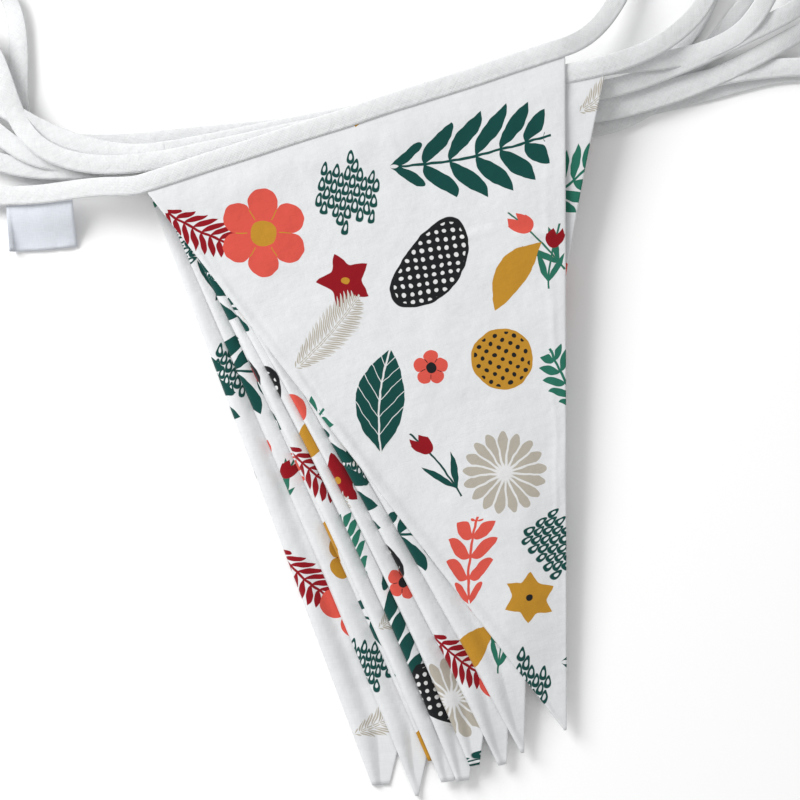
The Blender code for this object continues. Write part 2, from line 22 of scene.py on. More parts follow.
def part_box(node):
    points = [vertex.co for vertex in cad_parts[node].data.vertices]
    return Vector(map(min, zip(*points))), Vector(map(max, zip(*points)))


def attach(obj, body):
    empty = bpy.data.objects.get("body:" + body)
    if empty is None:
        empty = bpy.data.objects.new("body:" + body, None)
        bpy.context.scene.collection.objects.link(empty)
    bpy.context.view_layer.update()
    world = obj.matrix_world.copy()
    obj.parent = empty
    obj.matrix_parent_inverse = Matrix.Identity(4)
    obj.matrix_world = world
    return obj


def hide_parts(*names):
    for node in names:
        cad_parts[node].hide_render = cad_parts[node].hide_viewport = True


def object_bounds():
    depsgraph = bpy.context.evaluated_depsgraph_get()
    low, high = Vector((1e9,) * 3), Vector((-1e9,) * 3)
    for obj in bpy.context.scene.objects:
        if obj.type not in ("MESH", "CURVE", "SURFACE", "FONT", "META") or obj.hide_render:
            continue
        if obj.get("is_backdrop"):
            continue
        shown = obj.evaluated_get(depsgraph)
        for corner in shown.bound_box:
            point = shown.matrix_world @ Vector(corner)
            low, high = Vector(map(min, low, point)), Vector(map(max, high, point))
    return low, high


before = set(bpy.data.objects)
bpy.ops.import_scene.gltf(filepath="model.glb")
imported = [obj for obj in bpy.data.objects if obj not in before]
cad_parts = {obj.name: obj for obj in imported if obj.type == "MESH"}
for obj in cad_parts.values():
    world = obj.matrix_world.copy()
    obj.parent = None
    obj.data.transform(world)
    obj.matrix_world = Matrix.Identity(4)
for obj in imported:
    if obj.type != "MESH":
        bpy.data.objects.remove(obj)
cad_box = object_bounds()
print("nodes:", len(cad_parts), "box:", [tuple(round(v, 4) for v in corner) for corner in cad_box])

# %% [markdown]
# The same few sizes and tables that the solids were made from say where each flag lies. With
# them a point can be asked for in the cloth's own terms, "so far across and so far down", which is
# how a sewer would point at it. One known corner then tells how far the solids were moved.

# %% Sizes
MM = 0.001
FLAG_WIDTH = 0.200
FLAG_HEIGHT = 0.293
TAPE_WIDTH = 0.0086
TAPE_LEAF = 0.0005
CLEAR = 0.0003
MEET = 0.0004
TAPE_BETWEEN = 0.280
TIE_LENGTH = 0.240
TURN_RADIUS = 0.010
TURN_ANGLES = (90, 45, 0, -45, -90)
LEAST_REACH, MOST_REACH = 0.080, 0.180
TWIST_LENGTH = 0.120
CURVE_POINTS = 400

Flag = namedtuple("Flag", "corner_x corner_y slope tip_x tip_y blunt left_bow right_bow roll")
FLAGS = {
    1: Flag(-0.1151, 0.0945, 17.9, 0.0758, -0.1511, 0.0012, 0.0000, 0.0000, 0.0008),
    2: Flag(-0.1023, 0.1059, 12.1, 0.0562, -0.1616, 0.0015, 0.0034, 0.0087, 0.0022),
    3: Flag(-0.1059, 0.1091, 10.9, 0.0470, -0.1671, 0.0040, 0.0039, 0.0087, 0.0022),
    4: Flag(-0.1132, 0.1082, 8.0, 0.0342, -0.1676, 0.0045, 0.0070, 0.0030, 0.0022),
    5: Flag(-0.1119, 0.1041, 6.5, 0.0288, -0.1744, 0.0060, 0.0066, 0.0030, 0.0025),
    6: Flag(-0.1142, 0.1073, 6.5, 0.0219, -0.1749, 0.0060, 0.0030, 0.0030, 0.0025),
    7: Flag(-0.1160, 0.1142, 5.5, 0.0137, -0.1657, 0.0015, 0.0020, 0.0030, 0.0022),
    8: Flag(-0.1151, 0.1059, 4.0, 0.0078, -0.1817, 0.0015, 0.0010, 0.0030, 0.0022),
    9: Flag(-0.1215, 0.1119, 2.5, -0.0087, -0.1767, 0.0080, 0.0000, 0.0030, 0.0025),
}
FIRST, LAST = min(FLAGS), max(FLAGS)

Loop = namedtuple("Loop", "upper_flag side upper_x upper_y lower_x lower_y bearing")
LOOPS = (
    Loop(1, 1, 0.0991, 0.1826, 0.1393, 0.1826, 60),
    Loop(2, -1, -0.1699, 0.1212, -0.1653, 0.1247, 152),
    Loop(3, 1, 0.1603, 0.1726, 0.1498, 0.1630, 27),
    Loop(4, -1, -0.1685, 0.1119, -0.1653, 0.1055, 166),
    Loop(5, 1, 0.1735, 0.1630, 0.1826, 0.1525, 15),
    Loop(6, -1, -0.1689, 0.1187, -0.1644, 0.1224, 138),
    Loop(7, 1, 0.1388, 0.1781, 0.1534, 0.1744, 44),
    Loop(8, -1, -0.1689, 0.1142, -0.1644, 0.1160, 180),
)
FRONT_TIE = ((-0.1324, 0.0971), (-0.1635, 0.0941), (-0.1826, 0.0931), (-0.2370, 0.0860), (-0.3000, 0.0850), (-0.3700, 0.0960))
BACK_TIE = ((0.1096, 0.1333), (0.1461, 0.1425), (0.1826, 0.1500), (0.2120, 0.1420), (0.2370, 0.1190), (0.2530, 0.0850), (0.2580, 0.0400))


class FlagPlan:
    """Where a flag lies in plan, asked for by how far down it and across it a point is."""

    def __init__(self, number):
        self.row = FLAGS[number]
        slope = math.radians(self.row.slope)
        self.right = np.array([math.cos(slope), math.sin(slope)])
        self.up = np.array([-math.sin(slope), math.cos(slope)])
        self.corner = np.array([self.row.corner_x, self.row.corner_y])
        self.far_corner = self.corner + FLAG_WIDTH * self.right
        self.tip = np.array([self.row.tip_x, self.row.tip_y])
        self.tucked = TAPE_WIDTH - TAPE_LEAF - CLEAR

    def tape_end(self, side):
        corner = self.far_corner if side > 0 else self.corner
        return corner + 0.5 * TAPE_WIDTH * self.up

    def sides_at(self, down):
        """Left and right end of the rows that lie down below the top edge, or above it in the tape."""
        down = np.asarray(down, float)[..., None]
        share = np.maximum(down, 0.0) / FLAG_HEIGHT
        bulge = 4.0 * share * (1.0 - share)
        half_blunt = 0.5 * self.row.blunt * share
        raised = np.maximum(-down, 0.0) * self.up
        left = self.corner + (self.tip - self.corner) * share + raised
        right = self.far_corner + (self.tip - self.far_corner) * share + raised
        left = left + (self.row.left_bow * bulge - half_blunt) * self.right
        right = right - (self.row.right_bow * bulge - half_blunt) * self.right
        return left, right

    def place_of(self, spots):
        """(down, across from the left side, length of the row) of points in plan."""
        below = (self.corner - spots) @ self.up
        down = below * FLAG_HEIGHT / ((self.corner - self.tip) @ self.up)
        down = np.where(below < 0.0, below, down)
        left, right = self.sides_at(down)
        return down, (spots - left) @ self.right, (right - left) @ self.right


PLANS = {number: FlagPlan(number) for number in FLAGS}
left, _ = PLANS[FIRST].sides_at(np.array([-PLANS[FIRST].tucked, FLAG_HEIGHT]))
flag_low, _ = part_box(f"flag_{FIRST}")
SHIFT = np.array([flag_low.x - left[0, 0], flag_low.y - left[1, 1]])
print("the solids lie", (SHIFT * 1000).round(2), "mm from the tables")

# %% [markdown]
# The picture was taken from straight above. A long lens far away keeps the flags' straight sides
# straight, and 0.4566 mm of cloth fills one pixel of an 800 pixel picture. Soft white light comes
# from all round, with a broad lamp at the upper left that brings out the folds.

# %% Camera, light and floor
PIXEL = 0.0004566
PICTURE = 800
CAMERA_HEIGHT = 2.2
SEEN_HEIGHT = 0.012
SENSOR = 36.0

camera = bpy.data.objects.new("camera", bpy.data.cameras.new("camera"))
camera.data.sensor_width = SENSOR
camera.data.lens = SENSOR * (CAMERA_HEIGHT - SEEN_HEIGHT) / (PICTURE * PIXEL)
camera.location = (SHIFT[0], SHIFT[1], CAMERA_HEIGHT)
bpy.context.scene.collection.objects.link(camera)
bpy.context.scene.camera = camera

world = bpy.data.worlds.new("studio")
bpy.context.scene.world = world
world.use_nodes = True
world.node_tree.nodes["Background"].inputs["Color"].default_value = (1.0, 1.0, 1.0, 1.0)
world.node_tree.nodes["Background"].inputs["Strength"].default_value = 0.52
bpy.context.scene.view_settings.view_transform = "Standard"

LAMPS = (
    ("window_lamp", (-1.10, 0.80, 1.00), 0.9, 29.0),
    ("fill_lamp", (0.9, -0.9, 1.6), 1.4, 4.5),
)
for name, place, size, power in LAMPS:
    lamp = bpy.data.objects.new(name, bpy.data.lights.new(name, "AREA"))
    lamp.data.size = size
    lamp.data.energy = power
    lamp.location = place
    lamp.rotation_euler = (-Vector(place)).to_track_quat("-Z", "Y").to_euler()
    bpy.context.scene.collection.objects.link(lamp)


def plain_material(name, colour, roughness):
    material = bpy.data.materials.new(name)
    material.use_nodes = True
    shader = material.node_tree.nodes["Principled BSDF"]
    shader.inputs["Base Color"].default_value = (*colour, 1.0)
    shader.inputs["Roughness"].default_value = roughness
    shader.inputs["Specular IOR Level"].default_value = 0.15
    return material


FLOOR_SIDE = 3.0
FLOOR_DROP = 0.0004
builder = bmesh.new()
bmesh.ops.create_grid(builder, x_segments=2, y_segments=2, size=FLOOR_SIDE)
bmesh.ops.translate(builder, verts=builder.verts, vec=(0.0, 0.0, -FLOOR_DROP))
floor = bpy.data.objects.new("floor", bpy.data.meshes.new("floor"))
builder.to_mesh(floor.data)
builder.free()
floor.data.materials.append(plain_material("floor_paper", (0.97, 0.97, 0.97), 0.9))
bpy.context.scene.collection.objects.link(floor)
floor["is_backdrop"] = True
print("camera lens:", round(camera.data.lens, 1), "mm")

# %% [markdown]
# Cloth settles on what is under it. The solids already lie as the cloth does, but in flat facets.
# So each flag's underside is read off its solid on a map of small squares, as a ray shot up from
# below would find it, and the map is softened. A second map keeps the top of the pile so far, and
# each new flag is kept a hair above it.

# %% Maps of heights
CELL = 0.0015
MAP_LOW = np.array([-0.150, -0.250])
MAP_CELLS = np.array([210, 260])
SOFTEN = 0.0065
ROLL_WIDTH, ROLL_FULL_AT, ROLL_LEAST = 0.0085, 0.150, 0.35


def soft_step(value):
    """0 up to 0, 1 from 1, and a soft rise between."""
    held = np.clip(value, 0.0, 1.0)
    return held * held * (3.0 - 2.0 * held)


def map_spots():
    columns, rows = np.mgrid[0 : MAP_CELLS[0], 0 : MAP_CELLS[1]]
    return MAP_LOW + (np.stack([columns, rows], -1) + 0.5) * CELL


def solid_of(node):
    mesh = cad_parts[node].data
    return BVHTree.FromPolygons([v.co for v in mesh.vertices], [p.vertices for p in mesh.polygons])


def hits_of(solid, spots):
    """Lowest and highest point of a solid over each spot in plan, or nan where there is none."""
    found = np.full((len(spots), 2), np.nan)
    for index, (x, y) in enumerate(spots):
        low = solid.ray_cast(Vector((x, y, -1.0)), Vector((0.0, 0.0, 1.0)))[0]
        if low is not None:
            high = solid.ray_cast(Vector((x, y, 1.0)), Vector((0.0, 0.0, -1.0)))[0]
            found[index] = low.z, high.z
    return found


def blurred(values, radius):
    """Values drawn together with their neighbours, along both sides of the map."""
    reach = int(3.0 * radius / CELL)
    weights = np.exp(-0.5 * (np.arange(-reach, reach + 1) * CELL / radius) ** 2)
    weights /= weights.sum()
    for axis in (0, 1):
        values = np.apply_along_axis(lambda line: np.convolve(line, weights, mode="same"), axis, values)
    return values


def filled(values, known, radius):
    """A softened map that also reaches a little past the known squares."""
    share = blurred(known.astype(float), radius)
    total = blurred(np.where(known, values, 0.0), radius)
    return np.where(share > 1e-4, total / np.maximum(share, 1e-4), 0.0)


def read_map(values, spots):
    """A map's values at these places, straight between its squares."""
    at = (spots - MAP_LOW) / CELL - 0.5
    low = np.clip(np.floor(at).astype(int), 0, MAP_CELLS - 2)
    share = np.clip(at - low, 0.0, 1.0)
    x, y = low[..., 0], low[..., 1]
    across, along = share[..., 0], share[..., 1]
    near = values[x, y] * (1 - across) + values[x + 1, y] * across
    far = values[x, y + 1] * (1 - across) + values[x + 1, y + 1] * across
    return near * (1 - along) + far * along


def uneven(x, y, size, seed):
    """Soft random hills about this far apart, from -1 to 1."""
    lattice = np.random.default_rng(seed).uniform(-1.0, 1.0, (64, 64))
    x, y = np.asarray(x) / size, np.asarray(y) / size
    left, low = np.floor(x).astype(int), np.floor(y).astype(int)
    across, along = soft_step(x - left), soft_step(y - low)
    corner = lambda right, up: lattice[(left + right) % 64, (low + up) % 64]
    near = corner(0, 0) * (1 - across) + corner(1, 0) * across
    far = corner(0, 1) * (1 - across) + corner(1, 1) * across
    return near * (1 - along) + far * along


def own_roll(number, spots):
    """How high the solid's rolled edge lifts it at these places."""
    down, across, length = PLANS[number].place_of(spots - SHIFT)
    width = ROLL_WIDTH * np.maximum(ROLL_LEAST, np.minimum(1.0, down / ROLL_FULL_AT))
    width = np.minimum(length, width)
    wave = np.sin(np.pi * np.clip(across / np.maximum(width, 1e-6), 0.0, 1.0)) ** 2
    return FLAGS[number].roll * soft_step(down / ROLL_FULL_AT) * wave


SPOTS = map_spots()


def underside_map(number):
    """Soft heights of a flag's underside over the whole map, and the squares that it covers."""
    low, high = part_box(f"flag_{number}")
    near = ((SPOTS > (low.x, low.y)) & (SPOTS < (high.x, high.y))).all(-1)
    hits = np.full((*near.shape, 2), np.nan)
    hits[near] = hits_of(solid_of(f"flag_{number}"), SPOTS[near])
    known = ~np.isnan(hits[..., 0])
    flat = np.where(known, hits[..., 0] - own_roll(number, SPOTS), 0.0)
    return filled(flat, known, SOFTEN), known


UNDERSIDES = {number: underside_map(number) for number in FLAGS}
print("maps read:", len(UNDERSIDES))

# %% [markdown]
# The tape is one strip of white cotton, folded in half along its length over the flags' top edges
# and sewn along its open edge. From the first tie to the last it runs along a flag, round a loop,
# back along the next flag, and so on. It is followed here once, station by station: where its
# middle is, which way it runs, and which way its stitched edge points. In a loop the tape stands
# up and turns over.

# %% Follow the tape
TAPE_STEP = 0.0024
TAPE_SOFTEN = 0.005


def lengths_along(line):
    steps = np.linalg.norm(np.diff(line, axis=0), axis=1)
    return np.concatenate([[0.0], np.cumsum(steps)])


def at_stops(line, values, stops):
    along = lengths_along(line)
    return np.column_stack([np.interp(stops, along, column) for column in values.T])


def units(vectors):
    return vectors / np.linalg.norm(vectors, axis=-1, keepdims=True)


def spline(points, first_way, last_way):
    """Dense points on the smooth curve through the given ones."""
    points = np.array(points)
    knots = lengths_along(points)
    spans = np.diff(knots)
    chords = np.diff(points, axis=0) / spans[:, None]
    matrix = np.eye(len(points))
    pull = np.array([first_way] + [first_way] * (len(points) - 2) + [last_way])
    for index in range(1, len(points) - 1):
        before, after = spans[index - 1], spans[index]
        matrix[index, index - 1 : index + 2] = after, 2.0 * (before + after), before
        pull[index] = 3.0 * (after * chords[index - 1] + before * chords[index])
    ways = np.linalg.solve(matrix, pull)
    at = np.linspace(0.0, knots[-1], CURVE_POINTS)
    span = np.clip(np.searchsorted(knots, at, side="right") - 1, 0, len(points) - 2)
    size = spans[span][:, None]
    share = (at[:, None] - knots[span][:, None]) / size
    rest = 1.0 - share
    ends = (1.0 + 2.0 * share) * rest**2 * points[span] + (3.0 - 2.0 * share) * share**2 * points[span + 1]
    return ends + size * (share * rest**2 * ways[span] - rest * share**2 * ways[span + 1])


def loop_line(loop):
    """Plan of a loop from its upper flag to its lower one, and how far along it the turn is."""
    upper, lower = PLANS[loop.upper_flag], PLANS[loop.upper_flag + 1]
    outward, inward = loop.side * upper.right, -loop.side * lower.right
    start = upper.tape_end(loop.side) + MEET * outward
    end = lower.tape_end(loop.side) - MEET * inward
    angles = np.radians(loop.bearing + loop.side * np.array(TURN_ANGLES))
    turn = TURN_RADIUS * np.column_stack([np.cos(angles), np.sin(angles)])
    bearing = math.radians(loop.bearing)
    ahead = np.array([math.cos(bearing), math.sin(bearing)])
    near, far = LEAST_REACH, MOST_REACH
    while far - near > 1e-7:
        reach = 0.5 * (near + far)
        bend = 0.5 * (start + end) + reach * ahead + turn
        upper_point, lower_point = (loop.upper_x, loop.upper_y), (loop.lower_x, loop.lower_y)
        line = spline([start, upper_point, *bend, lower_point, end], outward, inward)
        too_long = lengths_along(line)[-1] > TAPE_BETWEEN - 2.0 * MEET
        near, far = (near, reach) if too_long else (reach, far)
    middle = np.linalg.norm(line - bend[len(bend) // 2], axis=1).argmin()
    return line, lengths_along(line)[middle]


def tie_line(number, side, points):
    """Plan of a tie, from its flag outwards."""
    plan = PLANS[number]
    outward = side * plan.right
    points = np.array(points)
    last_way = units(points[-1] - points[-2])
    return spline([plan.tape_end(side) + MEET * outward, *points], outward, last_way)


def even_stops(total):
    return np.linspace(0.0, total, math.ceil(total / TAPE_STEP) + 1)


Stretch = namedtuple("Stretch", "node plan ways down twist flag")


def tape_stretches():
    """The lengths of tape in the order in which the tape runs, from the front tie to the back one."""
    found = []
    line = tie_line(FIRST, -1, FRONT_TIE)
    stops = even_stops(TIE_LENGTH)[::-1]
    ways = -units(at_stops(line, np.gradient(line, axis=0), stops))
    down = np.column_stack([ways[:, 1], -ways[:, 0]])
    found.append(Stretch("tie_front", at_stops(line, line, stops), ways, down, 0.0 * stops, 0))
    loops = {loop.upper_flag: loop for loop in LOOPS}
    for number, plan in PLANS.items():
        side = 1 if number % 2 else -1
        start, end = plan.tape_end(-side), plan.tape_end(side)
        stops = even_stops(FLAG_WIDTH)
        path = start + (stops / FLAG_WIDTH)[:, None] * (end - start)
        ways = np.tile(side * plan.right, (len(stops), 1))
        down = np.tile(-plan.up, (len(stops), 1))
        found.append(Stretch(f"tape_on_flag_{number}", path, ways, down, 0.0 * stops, number))
        if number in loops:
            line, turn_at = loop_line(loops[number])
            stops = even_stops(lengths_along(line)[-1])
            ways = units(at_stops(line, np.gradient(line, axis=0), stops))
            down = side * np.column_stack([ways[:, 1], -ways[:, 0]])
            twist = np.pi * soft_step((stops - turn_at) / TWIST_LENGTH + 0.5)
            name = f"tape_loop_{number}_{number + 1}"
            found.append(Stretch(name, at_stops(line, line, stops), ways, down, twist, 0))
    line = tie_line(LAST, 1, BACK_TIE)
    stops = even_stops(TIE_LENGTH)
    ways = units(at_stops(line, np.gradient(line, axis=0), stops))
    down = np.column_stack([ways[:, 1], -ways[:, 0]])
    found.append(Stretch("tie_back", at_stops(line, line, stops), ways, down, 0.0 * stops, 0))
    return found


def middle_heights(stretch):
    """Height of the middle of a length of tape, read off its solid from above and below."""
    hits = hits_of(solid_of(stretch.node), stretch.plan + SHIFT)
    middles = hits.mean(1)
    known = ~np.isnan(middles)
    stops = np.arange(len(middles))
    return np.interp(stops, stops[known], middles[known])


def softened_line(values, along, radius):
    away = (along[:, None] - along[None, :]) / radius
    weights = np.exp(-0.5 * away**2)
    return (weights @ values) / weights.sum(1)


STRETCHES = tape_stretches()
tape_plan = np.concatenate([s.plan for s in STRETCHES]) + SHIFT
tape_heights = np.concatenate([middle_heights(s) for s in STRETCHES])
tape_ways = np.concatenate([s.ways for s in STRETCHES])
tape_down = np.concatenate([s.down for s in STRETCHES])
tape_twist = np.concatenate([s.twist for s in STRETCHES])
tape_flag = np.concatenate([np.full(len(s.plan), s.flag) for s in STRETCHES])
steps = np.linalg.norm(np.diff(np.column_stack([tape_plan, tape_heights]), axis=0), axis=1)
tape_along = np.concatenate([[0.0], np.cumsum(np.maximum(steps, 1e-5))])
tape_heights = softened_line(tape_heights, tape_along, TAPE_SOFTEN)
print("the tape is", round(tape_along[-1], 3), "m long, in", len(tape_along), "stations")

# %% [markdown]
# The print is drawn with nodes, in metres of flat cloth, so it stays sharp at any distance. A
# formula is easier to read as a sum than as a row of nodes, so `Wire` lets numbers in a node tree
# be added and multiplied like plain ones. Each kind of leaf or flower is one shader node group: it
# gets the colour under it, a centre, a turn and a size, and gives back the colour with its shape
# printed on top. Placing thirty of them is then one row of a table each.

# %% Numbers in a node tree
SOFT_EDGE = 0.00016
TILE = (0.210, 0.240)  # one repeat of the print


class Wire:
    """A number on its way through a node tree, so that a formula can be written as one."""

    def __init__(self, tree, socket):
        self.tree, self.socket = tree, socket

    def math(self, operation, *others, clamp=False):
        node = self.tree.nodes.new("ShaderNodeMath")
        node.operation, node.use_clamp = operation, clamp
        for socket, value in zip(node.inputs, (self, *others)):
            if isinstance(value, Wire):
                self.tree.links.new(value.socket, socket)
            else:
                socket.default_value = value
        return Wire(self.tree, node.outputs[0])

    def __add__(self, other):
        return self.math("ADD", other)

    def __sub__(self, other):
        return self.math("SUBTRACT", other)

    def __rsub__(self, other):
        return self.math("MULTIPLY_ADD", -1.0, other)

    def __mul__(self, other):
        return self.math("MULTIPLY", other)

    def __truediv__(self, other):
        return self.math("DIVIDE", other)

    __radd__, __rmul__ = __add__, __mul__

    def size(self):
        return self.math("ABSOLUTE")

    def root(self):
        return self.math("SQRT")

    def most(self, other):
        return self.math("MAXIMUM", other)

    def least(self, other):
        return self.math("MINIMUM", other)

    def to_and_fro(self, half):
        """A zigzag between 0 and half."""
        return self.math("PINGPONG", half)

    def ink(self):
        """1 where a distance is inside a shape, 0 outside it."""
        return self.math("MULTIPLY_ADD", -1.0 / SOFT_EDGE, 0.5, clamp=True)


def new_group(name, inputs, outputs):
    """A shader node group with named sockets, and its two end nodes."""
    group = bpy.data.node_groups.new(name, "ShaderNodeTree")
    for label, kind in inputs:
        group.interface.new_socket(label, in_out="INPUT", socket_type=kind)
    for label, kind in outputs:
        group.interface.new_socket(label, in_out="OUTPUT", socket_type=kind)
    return group, group.nodes.new("NodeGroupInput"), group.nodes.new("NodeGroupOutput")


def vector_math(tree, operation, *values):
    node = tree.nodes.new("ShaderNodeVectorMath")
    node.operation = operation
    for socket, value in zip(node.inputs, values):
        if isinstance(value, bpy.types.NodeSocket):
            tree.links.new(value, socket)
        else:
            socket.default_value = value
    return node.outputs[0]


def mixed(tree, share, under, over):
    """Colour over laid on colour under where share is 1."""
    node = tree.nodes.new("ShaderNodeMix")
    node.data_type = "RGBA"
    tree.links.new(share.socket, node.inputs["Factor"])
    tree.links.new(under, node.inputs[6])
    tree.links.new(over, node.inputs[7])
    return node.outputs[2]


print("repeat of the print:", TILE, "m")

# %% [markdown]
# Inside a motif, x runs from its foot to its tip and y across it. A leaf is "how far from the
# middle line, less how wide the leaf is here". A branch folds a row of leaves into one with a
# zigzag. A flower measures its radius against a wave that runs round it.

# %% Kinds of motif
FLOAT, VECTOR, COLOUR = "NodeSocketFloat", "NodeSocketVector", "NodeSocketColor"
MOTIF_INPUTS = (
    ("Under", COLOUR),
    ("Place", VECTOR),
    ("Centre", VECTOR),
    ("Turn", FLOAT),
    ("Length", FLOAT),
    ("Width", FLOAT),
    ("Count", FLOAT),
    ("Bend", FLOAT),
    ("Ink", COLOUR),
    ("Second Ink", COLOUR),
)


def branch(x, y, length, width, count, bend):
    """Pairs of pointed leaves on a stem. Second: the leaves' middle lines."""
    side = (y - bend * x * x).size()
    slanted = x - side * 0.8
    pitch = length / count
    from_leaf = slanted.to_and_fro(pitch * 0.5)
    share = (slanted / length).math("ADD", 0.06, clamp=True)
    reach = width * (share * (1.0 - share) * 4.0).root() + 0.0002
    out = side / reach
    past_the_ends = (x - length * 0.5).size() - length * 0.5
    leaf = (from_leaf - pitch * 1.7 * out * (1.0 - out)).most(past_the_ends - 0.004).most(0.0001 - reach + 0.0003)
    stem = (side - 0.0006).most(past_the_ends)
    return leaf.least(stem), (from_leaf - 0.0002).least(side - 0.0002)


def broad_leaf(x, y, length, width, count, bend):
    """One leaf. Second: its midrib and side veins."""
    share = x / length
    side = (y - bend * x * (length - x)).size()
    outline = side - width * 4.0 * share * (1.0 - share)
    vein = (x - side * 1.3).to_and_fro(length / count * 0.5) - 0.00028
    return outline, (side - 0.0004).least(vein)


def bloom(x, y, length, width, count, bend):
    """Round petals. Second: the eye, with a ring of slits round it."""
    radius = (x * x + y * y).root()
    wave = (y.math("ARCTAN2", x) * count * 0.5).math("COSINE").size()
    slit = wave * radius - width
    eye = radius - length * 0.30
    slits = (width * 0.0 + slit).most(radius - length * 0.62).most(length * 0.36 - radius)
    return radius - length * (wave.root() * 0.38 + 0.62), eye.least(slits)


def star_flower(x, y, length, width, count, bend):
    """Narrow pointed petals. Second: the eye."""
    radius = (x * x + y * y).root()
    wave = (y.math("ARCTAN2", x) * count * 0.5).math("SINE").size()
    out = radius / length
    petal = wave * radius * (2.0 / 1.0) / count - width * 4.0 * out * (1.0 - out)
    return petal.least(radius - length * 0.16), radius - length * 0.13


def fan_leaf(x, y, length, width, count, bend):
    """A round leaf with a notched rim, and slits from its middle. Second: the slits."""
    radius = (x * x + y * y).root()
    wave = (y.math("ARCTAN2", x) * count * 0.5).math("SINE").size()
    slit = wave * radius * 2.0 / count - width
    return radius - length * (wave * 0.26 + 0.74), slit.most(radius - length * 0.9)


def dotted_pod(x, y, length, width, count, bend):
    """An oval. Second: dots in staggered rows."""
    along, across = x / length, (y - bend * x * x) / width
    outline = ((along * along + across * across).root() - 1.0) * width
    half = length / count
    u, v = x.to_and_fro(half), y.to_and_fro(half)
    near = (u * u + v * v).root()
    s, t = half - u, half - v
    dots = near.least((s * s + t * t).root()) - half * 0.36
    return outline, dots.most(outline + 0.0012)


def drops(x, y, length, width, count, bend):
    """A patch of small outlined drops in staggered rows. Second: nothing."""
    pitch_x, pitch_y = width * 2.0, width * 1.5
    found = None
    for shift in (0.0, 0.5):
        moved_x, moved_y = x + pitch_x * shift, y + pitch_y * shift
        cell_x = (moved_x / pitch_x).math("ROUND") * pitch_x
        cell_y = (moved_y / pitch_y).math("ROUND") * pitch_y
        u, v = moved_x - cell_x, moved_y - cell_y
        skew = (v * 1.0 / (width * 0.30)) * (1.0 + u / width * 0.5)
        ring = (((u / (width * 0.66)) * (u / (width * 0.66)) + skew * skew).root() - 1.0).size() * width * 0.30
        far = (cell_x * cell_x + cell_y * cell_y).root() - length
        ring = (ring - 0.00042).most(far)
        found = ring if found is None else found.least(ring)
    return found, found + 1.0


def tulip(x, y, length, width, count, bend):
    """A cup with three points on a bent stem. Second: the stem with its two leaves."""
    side = y - bend * x * x
    from_cup = x - (length - width)
    cup = ((from_cup * from_cup + side * side * 1.7).root() - width).most(
        from_cup - width * 0.15 - side.to_and_fro(width * 0.36) * 1.4
    )
    stem = (side.size() - 0.00045).most((x - length * 0.5).size() - length * 0.5)
    share = (x / length - 0.10) * 2.2
    slanted = (side.size() - (x - length * 0.10) * 0.45).size()
    leaf = slanted - width * 1.1 * share * (1.0 - share)
    return cup.least(stem).least(leaf), stem.least(leaf).most(width * 0.0 - cup)


def motif_group(draw):
    """The node group of one kind of motif."""
    group, entry, leave = new_group(draw.__name__, MOTIF_INPUTS, (("Over", COLOUR),))
    away = vector_math(group, "SUBTRACT", entry.outputs["Place"], entry.outputs["Centre"])
    high = (0.5 * TILE[0], 0.5 * TILE[1], 1.0)
    away = vector_math(group, "WRAP", away, high, [-value for value in high])
    turned = group.nodes.new("ShaderNodeVectorRotate")
    turned.rotation_type = "Z_AXIS"
    turned.invert = True
    group.links.new(away, turned.inputs["Vector"])
    group.links.new(entry.outputs["Turn"], turned.inputs["Angle"])
    apart = group.nodes.new("ShaderNodeSeparateXYZ")
    group.links.new(turned.outputs[0], apart.inputs[0])
    numbers = [Wire(group, entry.outputs[name]) for name in ("Length", "Width", "Count", "Bend")]
    shape, second = draw(Wire(group, apart.outputs[0]), Wire(group, apart.outputs[1]), *numbers)
    first_ink = mixed(group, shape.ink(), entry.outputs["Under"], entry.outputs["Ink"])
    both = mixed(group, shape.most(second).ink(), first_ink, entry.outputs["Second Ink"])
    group.links.new(both, leave.inputs["Over"])
    return group


KINDS = (branch, broad_leaf, bloom, star_flower, fan_leaf, dotted_pod, drops, tulip)
MOTIFS = {draw: motif_group(draw) for draw in KINDS}
print("motif nodes:", {draw.__name__: len(group.nodes) for draw, group in MOTIFS.items()})

# %% [markdown]
# A weave is threads that go over and under each other. Its shader node group gives a height for
# the bump and a tone that varies a little from thread to thread. The flags use it straight and
# fine, the tape coarser and turned, because that tape is cut on the bias.

# %% Weave
WEAVE_INPUTS = (("Place", VECTOR), ("Turn", FLOAT), ("Thread", FLOAT))


def weave_group():
    group, entry, leave = new_group("weave", WEAVE_INPUTS, (("Height", FLOAT), ("Tone", FLOAT)))
    turned = group.nodes.new("ShaderNodeVectorRotate")
    turned.rotation_type = "Z_AXIS"
    group.links.new(entry.outputs["Place"], turned.inputs["Vector"])
    group.links.new(entry.outputs["Turn"], turned.inputs["Angle"])
    apart = group.nodes.new("ShaderNodeSeparateXYZ")
    group.links.new(turned.outputs[0], apart.inputs[0])
    thread = Wire(group, entry.outputs["Thread"])
    x, y = Wire(group, apart.outputs[0]) / thread, Wire(group, apart.outputs[1]) / thread
    over = (x * math.pi).math("COSINE") * (y * math.pi).math("COSINE")
    tones = []
    for stretch in ((0.08, 1.0), (1.0, 0.08)):
        joined = group.nodes.new("ShaderNodeCombineXYZ")
        group.links.new((x * stretch[0]).socket, joined.inputs[0])
        group.links.new((y * stretch[1]).socket, joined.inputs[1])
        noise = group.nodes.new("ShaderNodeTexNoise")
        noise.inputs["Scale"].default_value = 0.9
        noise.inputs["Detail"].default_value = 1.0
        group.links.new(joined.outputs[0], noise.inputs["Vector"])
        tones.append(Wire(group, noise.outputs["Fac"]))
    group.links.new((over * 0.5 + tones[0]).socket, leave.inputs["Height"])
    group.links.new((tones[0] + tones[1]).socket, leave.inputs["Tone"])
    return group


